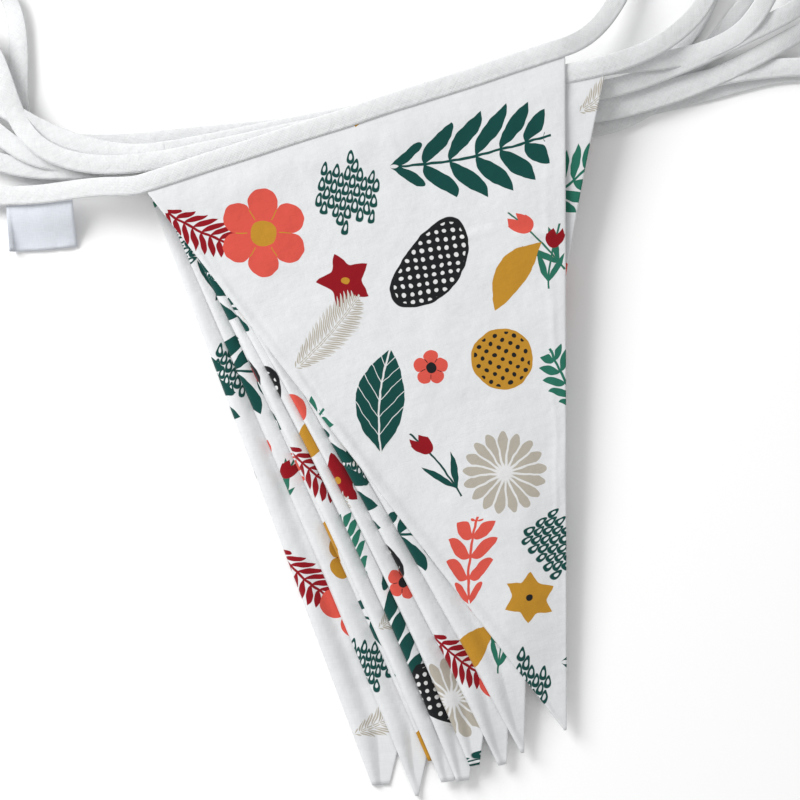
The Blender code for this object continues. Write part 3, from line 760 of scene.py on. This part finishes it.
WEAVE = weave_group()
print("weave nodes:", len(WEAVE.nodes))

# %% [markdown]
# The table of the print: each row is a kind of motif, its centre or foot in millimetres across and
# down the flat cloth, its turn, its length, width, count and bend, and its inks. The leaves and
# flowers are of the plainest kinds, in the warm and green inks of a jungle print.

# %% Print
INKS = {
    "teal": (0.004, 0.058, 0.050),
    "green": (0.019, 0.147, 0.098),
    "mustard": (0.479, 0.238, 0.023),
    "coral": (0.640, 0.085, 0.062),
    "red": (0.254, 0.004, 0.010),
    "grey": (0.430, 0.395, 0.335),
    "black": (0.010, 0.011, 0.012),
    "white": (0.700, 0.705, 0.700),
}
Motif = namedtuple("Motif", "kind x down turn length width count bend ink second")
PRINT = (
    Motif(branch, 112, 24, -14, 70, 20, 6, 2.0, "teal", "teal"),
    Motif(branch, 6, 12, -52, 34, 9, 8, 4.0, "red", "red"),
    Motif(bloom, 44, 34, 12, 20, 0.7, 6, 0, "coral", "mustard"),
    Motif(drops, 86, 26, 62, 15, 3.6, 0, 0, "teal", "teal"),
    Motif(dotted_pod, 112, 72, 35, 24, 13, 9, 6.0, "black", "white"),
    Motif(star_flower, 72, 66, 20, 13, 3.1, 5, 0, "red", "mustard"),
    Motif(tulip, 168, 92, 108, 36, 6.5, 0, 4.0, "coral", "green"),
    Motif(tulip, 158, 98, 70, 30, 5.5, 0, -5.0, "red", "green"),
    Motif(broad_leaf, 132, 100, 38, 38, 7, 5, 9.0, "mustard", "mustard"),
    Motif(branch, 40, 96, 24, 42, 9, 17, 3.0, "grey", "white"),
    Motif(broad_leaf, 62, 146, 66, 48, 11, 6, 5.0, "teal", "white"),
    Motif(dotted_pod, 128, 122, 0, 14, 14, 5, 0, "mustard", "black"),
    Motif(bloom, 96, 116, 0, 8, 0.4, 5, 0, "coral", "black"),
    Motif(branch, 156, 158, 108, 34, 9, 6, -4.0, "green", "green"),
    Motif(tulip, 90, 176, 100, 36, 6, 0, 5.0, "red", "teal"),
    Motif(fan_leaf, 112, 172, 0, 19, 0.45, 17, 0, "grey", "white"),
    Motif(drops, 124, 208, 20, 13, 3.4, 0, 0, "teal", "teal"),
    Motif(branch, 78, 222, 74, 38, 11, 4, -4.0, "coral", "coral"),
    Motif(star_flower, 104, 230, 8, 12, 3.0, 6, 0, "mustard", "black"),
    Motif(branch, 172, 148, -72, 66, 19, 6, -2.0, "teal", "teal"),
    Motif(bloom, 18, 178, 30, 17, 0.6, 7, 0, "coral", "black"),
    Motif(dotted_pod, 190, 212, -40, 19, 11, 7, 5.0, "black", "white"),
    Motif(broad_leaf, 24, 236, 58, 44, 10, 5, -6.0, "mustard", "black"),
    Motif(star_flower, 150, 186, 0, 13, 3.0, 6, 0, "grey", "grey"),
    Motif(fan_leaf, 42, 206, 0, 17, 0.4, 15, 0, "green", "white"),
    Motif(branch, 4, 138, 18, 44, 13, 6, 3.0, "green", "green"),
    Motif(tulip, 142, 238, 88, 34, 6, 0, 3.0, "coral", "teal"),
    Motif(bloom, 196, 118, 0, 13, 0.5, 5, 0, "mustard", "red"),
    Motif(drops, 196, 166, 80, 12, 3.4, 0, 0, "teal", "teal"),
    Motif(broad_leaf, 196, 74, 86, 40, 10, 6, 6.0, "grey", "white"),
)


def place_node(tree, uv_map):
    node = tree.nodes.new("ShaderNodeUVMap")
    node.uv_map = uv_map
    return node.outputs[0]


def use_group(tree, group, **values):
    """A node of this group, with sockets linked or values set. Second_Ink stands for Second Ink."""
    node = tree.nodes.new("ShaderNodeGroup")
    node.node_tree = group
    for name, value in values.items():
        socket = node.inputs[name.replace("_", " ")]
        if isinstance(value, bpy.types.NodeSocket):
            tree.links.new(value, socket)
        else:
            socket.default_value = value
    return node


def noise_node(tree, place, scale, detail):
    node = tree.nodes.new("ShaderNodeTexNoise")
    node.inputs["Scale"].default_value = scale
    node.inputs["Detail"].default_value = detail
    tree.links.new(place, node.inputs["Vector"])
    return node


def bump_node(tree, height, distance, strength, normal=None):
    node = tree.nodes.new("ShaderNodeBump")
    node.inputs["Distance"].default_value = distance
    node.inputs["Strength"].default_value = strength
    tree.links.new(height, node.inputs["Height"])
    if normal is not None:
        tree.links.new(normal, node.inputs["Normal"])
    return node.outputs["Normal"]


def print_material():
    material = plain_material("printed_cotton", (0.7, 0.7, 0.7), 0.88)
    tree = material.node_tree
    shader = tree.nodes["Principled BSDF"]
    shader.inputs["Sheen Weight"].default_value = 0.12
    shader.inputs["Sheen Roughness"].default_value = 0.5
    place = place_node(tree, "cut")
    wobble = noise_node(tree, place, 160.0, 1.0)
    shaken = vector_math(tree, "SUBTRACT", wobble.outputs["Color"], (0.5, 0.5, 0.5))
    shaken = vector_math(tree, "MULTIPLY", shaken, (0.0016, 0.0016, 0.0))
    drawn_at = vector_math(tree, "ADD", place, shaken)
    ground = tree.nodes.new("ShaderNodeRGB")
    ground.outputs[0].default_value = (0.705, 0.715, 0.725, 1.0)
    colour = ground.outputs[0]
    for motif in PRINT:
        node = use_group(
            tree,
            MOTIFS[motif.kind],
            Under=colour,
            Place=drawn_at,
            Centre=(motif.x * MM, -motif.down * MM, 0.0),
            Turn=math.radians(motif.turn),
            Length=motif.length * MM,
            Width=motif.width * MM,
            Count=motif.count,
            Bend=motif.bend,
            Ink=(*INKS[motif.ink], 1.0),
            Second_Ink=(*INKS[motif.second], 1.0),
        )
        colour = node.outputs["Over"]
    weave = use_group(tree, WEAVE, Place=place, Turn=0.0, Thread=0.00036)
    tone = Wire(tree, weave.outputs["Tone"]) * 0.10 + 0.90
    patches = Wire(tree, noise_node(tree, place, 38.0, 2.0).outputs["Fac"]) * 0.07 + 0.965
    shade = tone * patches
    colour = vector_math(tree, "SCALE", colour)
    scale = colour.node
    tree.links.new(node.outputs["Over"], scale.inputs[0])
    tree.links.new(shade.socket, scale.inputs["Scale"])
    tree.links.new(colour, shader.inputs["Base Color"])
    crumple = noise_node(tree, place, 105.0, 3.0)
    soft = bump_node(tree, crumple.outputs["Fac"], 0.0011, 0.55)
    normal = bump_node(tree, weave.outputs["Height"], 0.00006, 0.6, soft)
    tree.links.new(normal, shader.inputs["Normal"])
    return material


def white_cotton(name, colour, thread, turn, crumple_size):
    """Unprinted woven cotton, with bump for its threads and small puckers."""
    material = plain_material(name, colour, 0.9)
    tree = material.node_tree
    shader = tree.nodes["Principled BSDF"]
    shader.inputs["Sheen Weight"].default_value = 0.15
    place = place_node(tree, "cut")
    weave = use_group(tree, WEAVE, Place=place, Turn=turn, Thread=thread)
    tone = Wire(tree, weave.outputs["Tone"]) * 0.16 + 0.84
    base = tree.nodes.new("ShaderNodeRGB")
    base.outputs[0].default_value = (*colour, 1.0)
    shaded = vector_math(tree, "SCALE", base.outputs[0])
    tree.links.new(tone.socket, shaded.node.inputs["Scale"])
    tree.links.new(shaded, shader.inputs["Base Color"])
    crumple = noise_node(tree, place, 1.0 / crumple_size, 2.0)
    soft = bump_node(tree, crumple.outputs["Fac"], 0.0009, 0.6)
    normal = bump_node(tree, weave.outputs["Height"], 0.00012, 0.8, soft)
    tree.links.new(normal, shader.inputs["Normal"])
    return material


cotton = print_material()
tape_cotton = white_cotton("tape_cotton", (0.70, 0.71, 0.715), 0.00050, math.radians(45), 0.0045)
print("motifs placed:", len(PRINT))

# %% [markdown]
# A flag is two triangles of printed cotton sewn together and turned out, so its sides are soft
# folds, not cut edges. Its left side lies a little puffed up, like a half round tube. A fine grid
# is laid over the triangle, close together at the sides where the folds are round, and pushed up
# into a thin closed bag. Its flat size is kept in a UV map, in metres, for the print.

# %% Shape of a flag's cloth
PAIR = 0.00050  # both cloths together
EDGE_ROUND = 0.0006
KEEP_APART = 0.00015
LEFT_STEPS = (0.0, 0.1, 0.3, 0.6, 1.0, 1.5, 2.1, 2.8, 3.6, 4.5, 5.5, 6.6, 7.8, 9.1, 10.5, 12.0, 13.8)
RIGHT_STEPS = (0.0, 0.12, 0.35, 0.7, 1.2, 2.0)
EDGE_ROOM = 0.030  # narrower than this, a row's edge steps shrink with it
Puff = namedtuple("Puff", "height width rise")
PUFFS = {
    1: Puff(0.0009, 0.0060, 0.0016),
    2: Puff(0.0024, 0.0105, 0.0026),
    3: Puff(0.0026, 0.0095, 0.0026),
    4: Puff(0.0024, 0.0100, 0.0024),
    5: Puff(0.0028, 0.0090, 0.0028),
    6: Puff(0.0028, 0.0095, 0.0028),
    7: Puff(0.0026, 0.0100, 0.0026),
    8: Puff(0.0024, 0.0105, 0.0024),
    9: Puff(0.0026, 0.0110, 0.0030),
}


def row_steps(length, middle_parts):
    """Places of a row's points from its left side, close together at both sides."""
    held = np.minimum(1.0, length / EDGE_ROOM)[:, None] * MM
    left = np.array(LEFT_STEPS) * held
    right = length[:, None] - np.array(RIGHT_STEPS[::-1]) * held
    share = np.linspace(0.0, 1.0, middle_parts + 1)[1:-1]
    middle = left[:, -1:] + share * (right[:, :1] - left[:, -1:])
    return np.concatenate([left, middle, right], axis=1)


def rounded(away, radius):
    """Rises from 0 at an edge to 1 a radius in, like a quarter circle."""
    return np.sqrt(np.maximum(1.0 - (1.0 - np.clip(away / radius, 0.0, 1.0)) ** 2, 0.0))


def bag_height(number, down, across, length):
    """Height of the upper cloth over the lower one, with the puffed left side."""
    puff = PUFFS[number]
    grown = 0.25 + 0.75 * soft_step(down / 0.11)
    shrunk = np.clip(length / 0.022, 0.35, 1.0)
    width = puff.width * (0.45 + 0.55 * soft_step(down / 0.10)) * shrunk
    height = puff.height * grown * shrunk * (1.0 + 0.16 * uneven(down, 0.0 * down, 0.031, 40 + number))
    height = height * soft_step((down + 0.002) / 0.020)
    hump = rounded(across, np.minimum(puff.rise, 0.45 * width)) * np.cos(
        0.5 * np.pi * np.clip((across - 0.35 * width) / (0.65 * width), 0.0, 1.0)
    ) ** 1.4
    edges = rounded(across, EDGE_ROUND) * rounded(length - across, EDGE_ROUND)
    return PAIR * edges + height * hump * np.minimum(1.0, edges * 2.0)


print("row steps near the tape:", (row_steps(np.array([0.2]), 20)[0, :5] / MM).round(2))

# %% [markdown]
# Creases are placed as short soft ridges and troughs where the photographed cloth has them: a
# few run down from the tape, some follow the left fold, and one crosses the middle. Each is a line
# with a height and a width, uneven along its length. Broad shallow hills lie under them.

# %% Creases
Crease = namedtuple("Crease", "x0 y0 x1 y1 height width")
PX = PIXEL
FRONT_CREASES = (
    Crease(519, 232, 553, 236, 0.60, 3.5),
    Crease(425, 254, 492, 230, 0.35, 4.0),
    Crease(405, 268, 448, 302, 0.40, 5.0),
    Crease(176, 210, 214, 272, 0.55, 2.2),
    Crease(196, 232, 262, 340, 0.35, 2.6),
    Crease(262, 318, 330, 418, 0.35, 3.0),
    Crease(350, 140, 372, 178, 0.40, 4.0),
    Crease(385, 132, 400, 160, 0.30, 3.0),
    Crease(300, 158, 318, 200, 0.30, 4.0),
    Crease(470, 106, 476, 150, 0.28, 4.0),
    Crease(545, 120, 552, 330, 0.26, 3.0),
    Crease(553, 300, 558, 560, 0.22, 2.4),
    Crease(340, 330, 420, 380, 0.25, 7.0),
    Crease(430, 480, 520, 470, 0.25, 8.0),
    Crease(500, 600, 560, 640, 0.22, 6.0),
    Crease(230, 250, 300, 268, 0.25, 6.0),
    Crease(330, 420, 392, 520, 0.35, 3.4),
    Crease(400, 520, 470, 640, 0.35, 3.6),
    Crease(480, 640, 535, 706, 0.30, 3.0),
)


def to_metres(x, y):
    """A pixel of the picture as a place in plan."""
    return np.array([(x - 0.5 * PICTURE) * PIXEL, (0.5 * PICTURE - y) * PIXEL])


def crease_height(crease, plan):
    start, end = to_metres(crease.x0, crease.y0), to_metres(crease.x1, crease.y1)
    way = end - start
    length = np.linalg.norm(way)
    away = plan - start
    share = (away @ way) / length**2
    aside = (away[..., 0] * way[1] - away[..., 1] * way[0]) / length
    aside = aside + 0.0012 * uneven(share * length, 0.0 * share, 0.011, int(crease.x0))
    along = soft_step((share + 0.25) / 0.4) * soft_step((1.25 - share) / 0.4)
    return crease.height * MM * along * np.exp(-((aside / (crease.width * PIXEL)) ** 2))


def front_wrinkles(plan):
    """Creases and shallow hills of the first flag's upper cloth."""
    x, y = plan[..., 0], plan[..., 1]
    total = sum(crease_height(crease, plan) for crease in FRONT_CREASES)
    turned = 0.8 * x + 0.6 * y, 0.6 * x - 0.8 * y
    total = total + 0.00030 * uneven(turned[0] + 1.0, turned[1] * 1.6 + 1.0, 0.026, 3)
    total = total + 0.00014 * uneven(x * 1.3 + 2.0, y + 2.0, 0.0125, 4)
    total = total + 0.00005 * uneven(turned[1] + 3.0, turned[0] * 1.7 + 3.0, 0.0058, 5)
    return total + 0.00025


def hidden_wrinkles(number, down, across):
    """Long soft wrinkles of the flags further down, which follow their left sides."""
    total = 0.00022 * uneven(down + 1.0, across * 3.0 + 1.0, 0.034, 60 + number)
    return total + 0.00010 * uneven(down + 1.0, across * 2.2 + 1.0, 0.013, 80 + number) + 0.00012


print("creases placed:", len(FRONT_CREASES))

# %% [markdown]
# Now each flag is laid, from the lowest to the highest. `create_grid` gives the fine grid, its
# points move to their places, and `extrude_face_region` adds the upper cloth. Where the softened
# map would let a flag sink into the pile, it is held up.

# %% Lay the flags
PRINT_SHIFTS = {
    1: (0.000, 0.000),
    2: (0.061, -0.083),
    3: (0.137, -0.021),
    4: (0.018, -0.151),
    5: (0.093, -0.199),
    6: (0.171, -0.117),
    7: (0.044, -0.042),
    8: (0.116, -0.176),
    9: (0.156, -0.068),
}
FRONT_GRID = (200, 96)
BACK_GRID = (132, 34)
pile_top = np.zeros(tuple(MAP_CELLS))


def heading_map(number):
    """How much the flag has to rise or sink near the tape to lie in the middle of its fold."""
    plan = PLANS[number]
    chosen = tape_flag == number
    places = (tape_plan[chosen] - SHIFT - plan.corner) @ plan.right
    order = np.argsort(places)
    return places[order], tape_heights[chosen][order]


def laid_map(number):
    """The flag's underside over the map, held up by the pile and led into the tape."""
    soft, known = UNDERSIDES[number]
    plan = PLANS[number]
    down, across, length = plan.place_of(SPOTS - SHIFT)
    places, middles = heading_map(number)
    own = (SPOTS - SHIFT - plan.corner) @ plan.right
    wanted = np.interp(own, places, middles) - 0.5 * PAIR
    lead = soft_step(1.0 - (down - 0.001) / 0.022)
    height = soft + lead * (wanted - soft)
    inside = (across > -0.004) & (across < length + 0.004) & (down > -plan.tucked) & (down < FLAG_HEIGHT + 0.004)
    need = np.where(pile_top > 0.0, pile_top + KEEP_APART, 0.0)
    free = np.where(down > 0.004, 1.0, 0.0)
    for _ in range(3):
        height = np.where(inside & (free > 0), np.maximum(height, need), height)
        eased = filled(height, inside, 0.0025)
        height = np.where(inside & (free > 0), np.maximum(height, eased), height)
    return height, known


def flag_grid(number, rows, middle_parts):
    """Plan, down, across, row length and flat place of every point of a flag's grid."""
    plan = PLANS[number]
    tucked = -plan.tucked
    down = np.concatenate([np.linspace(tucked, -0.0005, 5), np.linspace(0.001, FLAG_HEIGHT, rows - 5)])
    left, right = plan.sides_at(down)
    length = (right - left) @ plan.right
    steps = row_steps(length, middle_parts)
    spots = left[:, None, :] + steps[..., None] * plan.right
    down = np.repeat(down[:, None], steps.shape[1], axis=1)
    length = np.repeat(length[:, None], steps.shape[1], axis=1)
    flat_half = 0.5 * FLAG_WIDTH * (1.0 - np.maximum(down, 0.0) / FLAG_HEIGHT)
    flat = np.stack([0.5 * FLAG_WIDTH - flat_half + 2.0 * flat_half * steps / length, -down], -1)
    return spots, down, steps, length, flat


def link(name, builder, materials):
    """Turns a finished bmesh into an object that is shaded smooth and rides on the part."""
    mesh = bpy.data.meshes.new(name)
    builder.to_mesh(mesh)
    builder.free()
    for material in materials:
        mesh.materials.append(material)
    mesh.shade_smooth()
    thing = bpy.data.objects.new(name, mesh)
    bpy.context.scene.collection.objects.link(thing)
    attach(thing, "root")
    return thing


def build_flag(number, materials):
    rows, middle_parts = FRONT_GRID if number == FIRST else BACK_GRID
    spots, down, across, length, flat = flag_grid(number, rows, middle_parts)
    height, known = laid_map(number)
    bottom = read_map(height, spots + SHIFT)
    bag = bag_height(number, down, across, length)
    if number == FIRST:
        wrinkles = front_wrinkles(spots)
    else:
        wrinkles = hidden_wrinkles(number, down, across)
    near_edge = rounded(across, 0.003) * rounded(length - across, 0.003)
    wrinkles = wrinkles * near_edge * soft_step((down - 0.001) / 0.012)
    top = bottom + bag + np.maximum(wrinkles, -0.5 * PAIR)
    builder = bmesh.new()
    count = spots.shape[1]
    bmesh.ops.create_grid(builder, x_segments=count - 1, y_segments=rows - 1, size=1.0)
    builder.verts.ensure_lookup_table()
    sheet = builder.loops.layers.uv.new("cut")
    order = np.arange(rows * count).reshape(rows, count)
    place = {}
    for row in range(rows):
        for column in range(count):
            corner = builder.verts[order[row, column]]
            x, y = spots[row, column] + SHIFT
            corner.co = (x, y, bottom[row, column])
            place[corner] = (row, column)
    made = bmesh.ops.extrude_face_region(builder, geom=list(builder.faces))
    raised = [item for item in made["geom"] if isinstance(item, bmesh.types.BMVert)]
    builder.verts.index_update()
    for corner, index in zip(raised, range(rows * count)):
        place[corner] = None
    lower = {tuple(corner.co): where for corner, where in place.items() if where is not None}
    for corner in raised:
        where = lower[tuple(corner.co)]
        place[corner] = where
        corner.co.z = top[where]
    for face in builder.faces:
        for loop in face.loops:
            loop[sheet].uv = flat[place[loop.vert]] + PRINT_SHIFTS[number]
    bmesh.ops.recalc_face_normals(builder, faces=builder.faces)
    thing = link(f"printed_flag_{number}", builder, materials)
    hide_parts(f"flag_{number}")
    own = np.zeros(tuple(MAP_CELLS))
    map_down, map_across, map_length = PLANS[number].place_of(SPOTS - SHIFT)
    over = bag_height(number, map_down, map_across, np.maximum(map_length, 0.001)) + 0.00035
    inside = (map_across > -CELL) & (map_across < map_length + CELL) & (map_down > -0.008) & (map_down < FLAG_HEIGHT + CELL)
    own[inside] = (height + over)[inside]
    np.maximum(pile_top, own, out=pile_top)
    return thing


flag_pieces = {number: build_flag(number, [cotton]) for number in range(LAST, FIRST - 1, -1)}
print("flags laid:", len(flag_pieces), "top:", round(float(pile_top.max()) * 1000, 1), "mm")

# %% [markdown]
# The tape's section is a flat U: one half above the flag, the fold, and the other half below. It
# starts as a row of points that is swept along the stations. Solidify then gives it the thickness
# of the cloth.

# %% Sweep the tape
LEAF_POINTS = 8
FOLD_POINTS = 5
TAPE_CLOTH = 0.00028
FREE_GAP = 0.00016
SEAM_IN = 0.0016  # of the stitches, from the open edge
TAPE_PUFF = 0.00042


def tape_section(inside):
    """Across and out of the plane, for a point row round the U. Inside is the half gap at the seam."""
    across = 0.5 * TAPE_WIDTH - np.linspace(0.0, 1.0, LEAF_POINTS) ** 0.9 * (TAPE_WIDTH - 0.0006)
    share = (0.5 * TAPE_WIDTH - across) / TAPE_WIDTH
    swell = np.sin(np.pi * np.clip((share - 0.17) / 0.83, 0.0, 1.0)) ** 0.8
    out = inside[:, None] + TAPE_PUFF * swell
    angles = np.linspace(0.0, np.pi, FOLD_POINTS + 2)[1:-1]
    fold_in = -0.5 * TAPE_WIDTH + 0.0006
    fold_across = fold_in - 0.0006 * np.sin(angles)
    fold_out = out[:, -1:] * np.cos(angles)
    across = np.concatenate([across, fold_across, across[::-1]])
    out = np.concatenate([out, fold_out, -out[:, ::-1]], axis=1)
    return across, out


def tape_frame():
    """Middles, and unit vectors towards the stitched edge and out of the tape's face."""
    middles = np.column_stack([tape_plan, tape_heights])
    climb = np.gradient(tape_heights) / np.maximum(np.gradient(tape_along), 1e-6)
    ways = units(np.column_stack([tape_ways, np.clip(climb, -0.8, 0.8)]))
    down = np.column_stack([np.cos(tape_twist)[:, None] * tape_down, -np.sin(tape_twist)])
    down = units(down - (down * ways).sum(1)[:, None] * ways)
    return middles, down, np.cross(ways, down)


middles, across_ways, out_ways = tape_frame()
held_open = soft_step(softened_line((tape_flag > 0).astype(float), tape_along, 0.004) * 1.6 - 0.3)
inside = FREE_GAP + held_open * (0.5 * PAIR + 0.00018 - FREE_GAP + 0.5 * TAPE_CLOTH)
section_across, section_out = tape_section(inside)
wander = 0.00022 * uneven(tape_along, 0.0 * tape_along, 0.021, 7)
sway = 0.00010 * uneven(tape_along[:, None] + 0 * section_out, np.arange(len(section_across)) * 0.002, 0.011, 8)
tape_points = (
    middles[:, None, :]
    + (section_across[None, :] + wander[:, None])[..., None] * across_ways[:, None, :]
    + (section_out + sway)[..., None] * out_ways[:, None, :]
)


def build_tape(materials):
    builder = bmesh.new()
    rows, count = tape_points.shape[:2]
    bmesh.ops.create_grid(builder, x_segments=count - 1, y_segments=rows - 1, size=1.0)
    builder.verts.ensure_lookup_table()
    cut = builder.loops.layers.uv.new("cut")
    flat_across = lengths_along(np.column_stack([section_across, section_out[0]]))
    where = {}
    for row in range(rows):
        for column in range(count):
            corner = builder.verts[row * count + column]
            corner.co = tape_points[row, column]
            where[corner] = (tape_along[row], flat_across[column])
    for face in builder.faces:
        for loop in face.loops:
            loop[cut].uv = where[loop.vert]
    bmesh.ops.recalc_face_normals(builder, faces=builder.faces)
    thing = link("folded_tape", builder, materials)
    thickness = thing.modifiers.new("cloth", "SOLIDIFY")
    thickness.thickness = TAPE_CLOTH
    thickness.offset = 0.0
    return thing


tape_piece = build_tape([tape_cotton])
tape_nodes = [s.node for s in STRETCHES]
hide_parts(*tape_nodes)
print("tape stations:", len(tape_along))

# %% [markdown]
# The label is a small woven piece of ribbon, caught under the tape's open edge. It stays bare: its
# fine weave and its soft fall to the floor are all that it shows.

# %% Label
LABEL_WIDTH, LABEL_DROP, LABEL_TUCK = 0.0306, 0.0210, 0.0040
LABEL_FROM_FLAG = 0.0335
LABEL_GRID = (20, 16)


def build_label(materials):
    plan = STRETCHES[0]
    count = len(plan.plan)
    from_flag = np.linspace(TIE_LENGTH, 0.0, count)
    columns = np.linspace(LABEL_FROM_FLAG + LABEL_WIDTH, LABEL_FROM_FLAG, LABEL_GRID[0] + 1)
    line = middles[:count]
    edge = line + 0.5 * TAPE_WIDTH * across_ways[:count]
    top = np.column_stack([np.interp(-columns, -from_flag, column) for column in edge.T])
    middle = np.abs(from_flag - columns.mean()).argmin()
    down = np.array([*plan.down[middle], 0.0])
    rows = np.linspace(-LABEL_TUCK, LABEL_DROP, LABEL_GRID[1] + 1)
    spots = top[None, :, :] + rows[:, None, None] * down
    hits = hits_of(solid_of("label"), spots[..., :2].reshape(-1, 2)).mean(1).reshape(spots.shape[:2])
    for column in range(hits.shape[1]):
        known = ~np.isnan(hits[:, column])
        if known.any():
            hits[:, column] = np.interp(rows, rows[known], hits[known, column])
    for row in range(hits.shape[0]):
        known = ~np.isnan(hits[row])
        hits[row] = np.interp(columns[::-1], columns[known][::-1], hits[row, known][::-1])[::-1]
    for _ in range(6):
        hits[1:-1] = 0.25 * hits[:-2] + 0.5 * hits[1:-1] + 0.25 * hits[2:]
    spots[..., 2] = np.maximum(hits, 0.0004)
    builder = bmesh.new()
    bmesh.ops.create_grid(builder, x_segments=LABEL_GRID[0], y_segments=LABEL_GRID[1], size=1.0)
    builder.verts.ensure_lookup_table()
    cut = builder.loops.layers.uv.new("cut")
    where = {}
    for row in range(LABEL_GRID[1] + 1):
        for column in range(LABEL_GRID[0] + 1):
            corner = builder.verts[row * (LABEL_GRID[0] + 1) + column]
            corner.co = spots[row, column]
            where[corner] = (column / LABEL_GRID[0] * LABEL_WIDTH, -rows[row])
    for face in builder.faces:
        for loop in face.loops:
            loop[cut].uv = where[loop.vert]
    bmesh.ops.recalc_face_normals(builder, faces=builder.faces)
    thing = link("woven_label", builder, materials)
    thickness = thing.modifiers.new("ribbon", "SOLIDIFY")
    thickness.thickness = 0.0005
    thickness.offset = 0.0
    return thing


label_satin = white_cotton("label_satin", (0.72, 0.75, 0.81), 0.00030, 0.0, 0.012)
label_piece = build_label([label_satin])
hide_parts("label")

# %% Sizes for comparison, and the end
visual_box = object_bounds()
{"cad": [list(corner) for corner in cad_box], "visual": [list(corner) for corner in visual_box]}
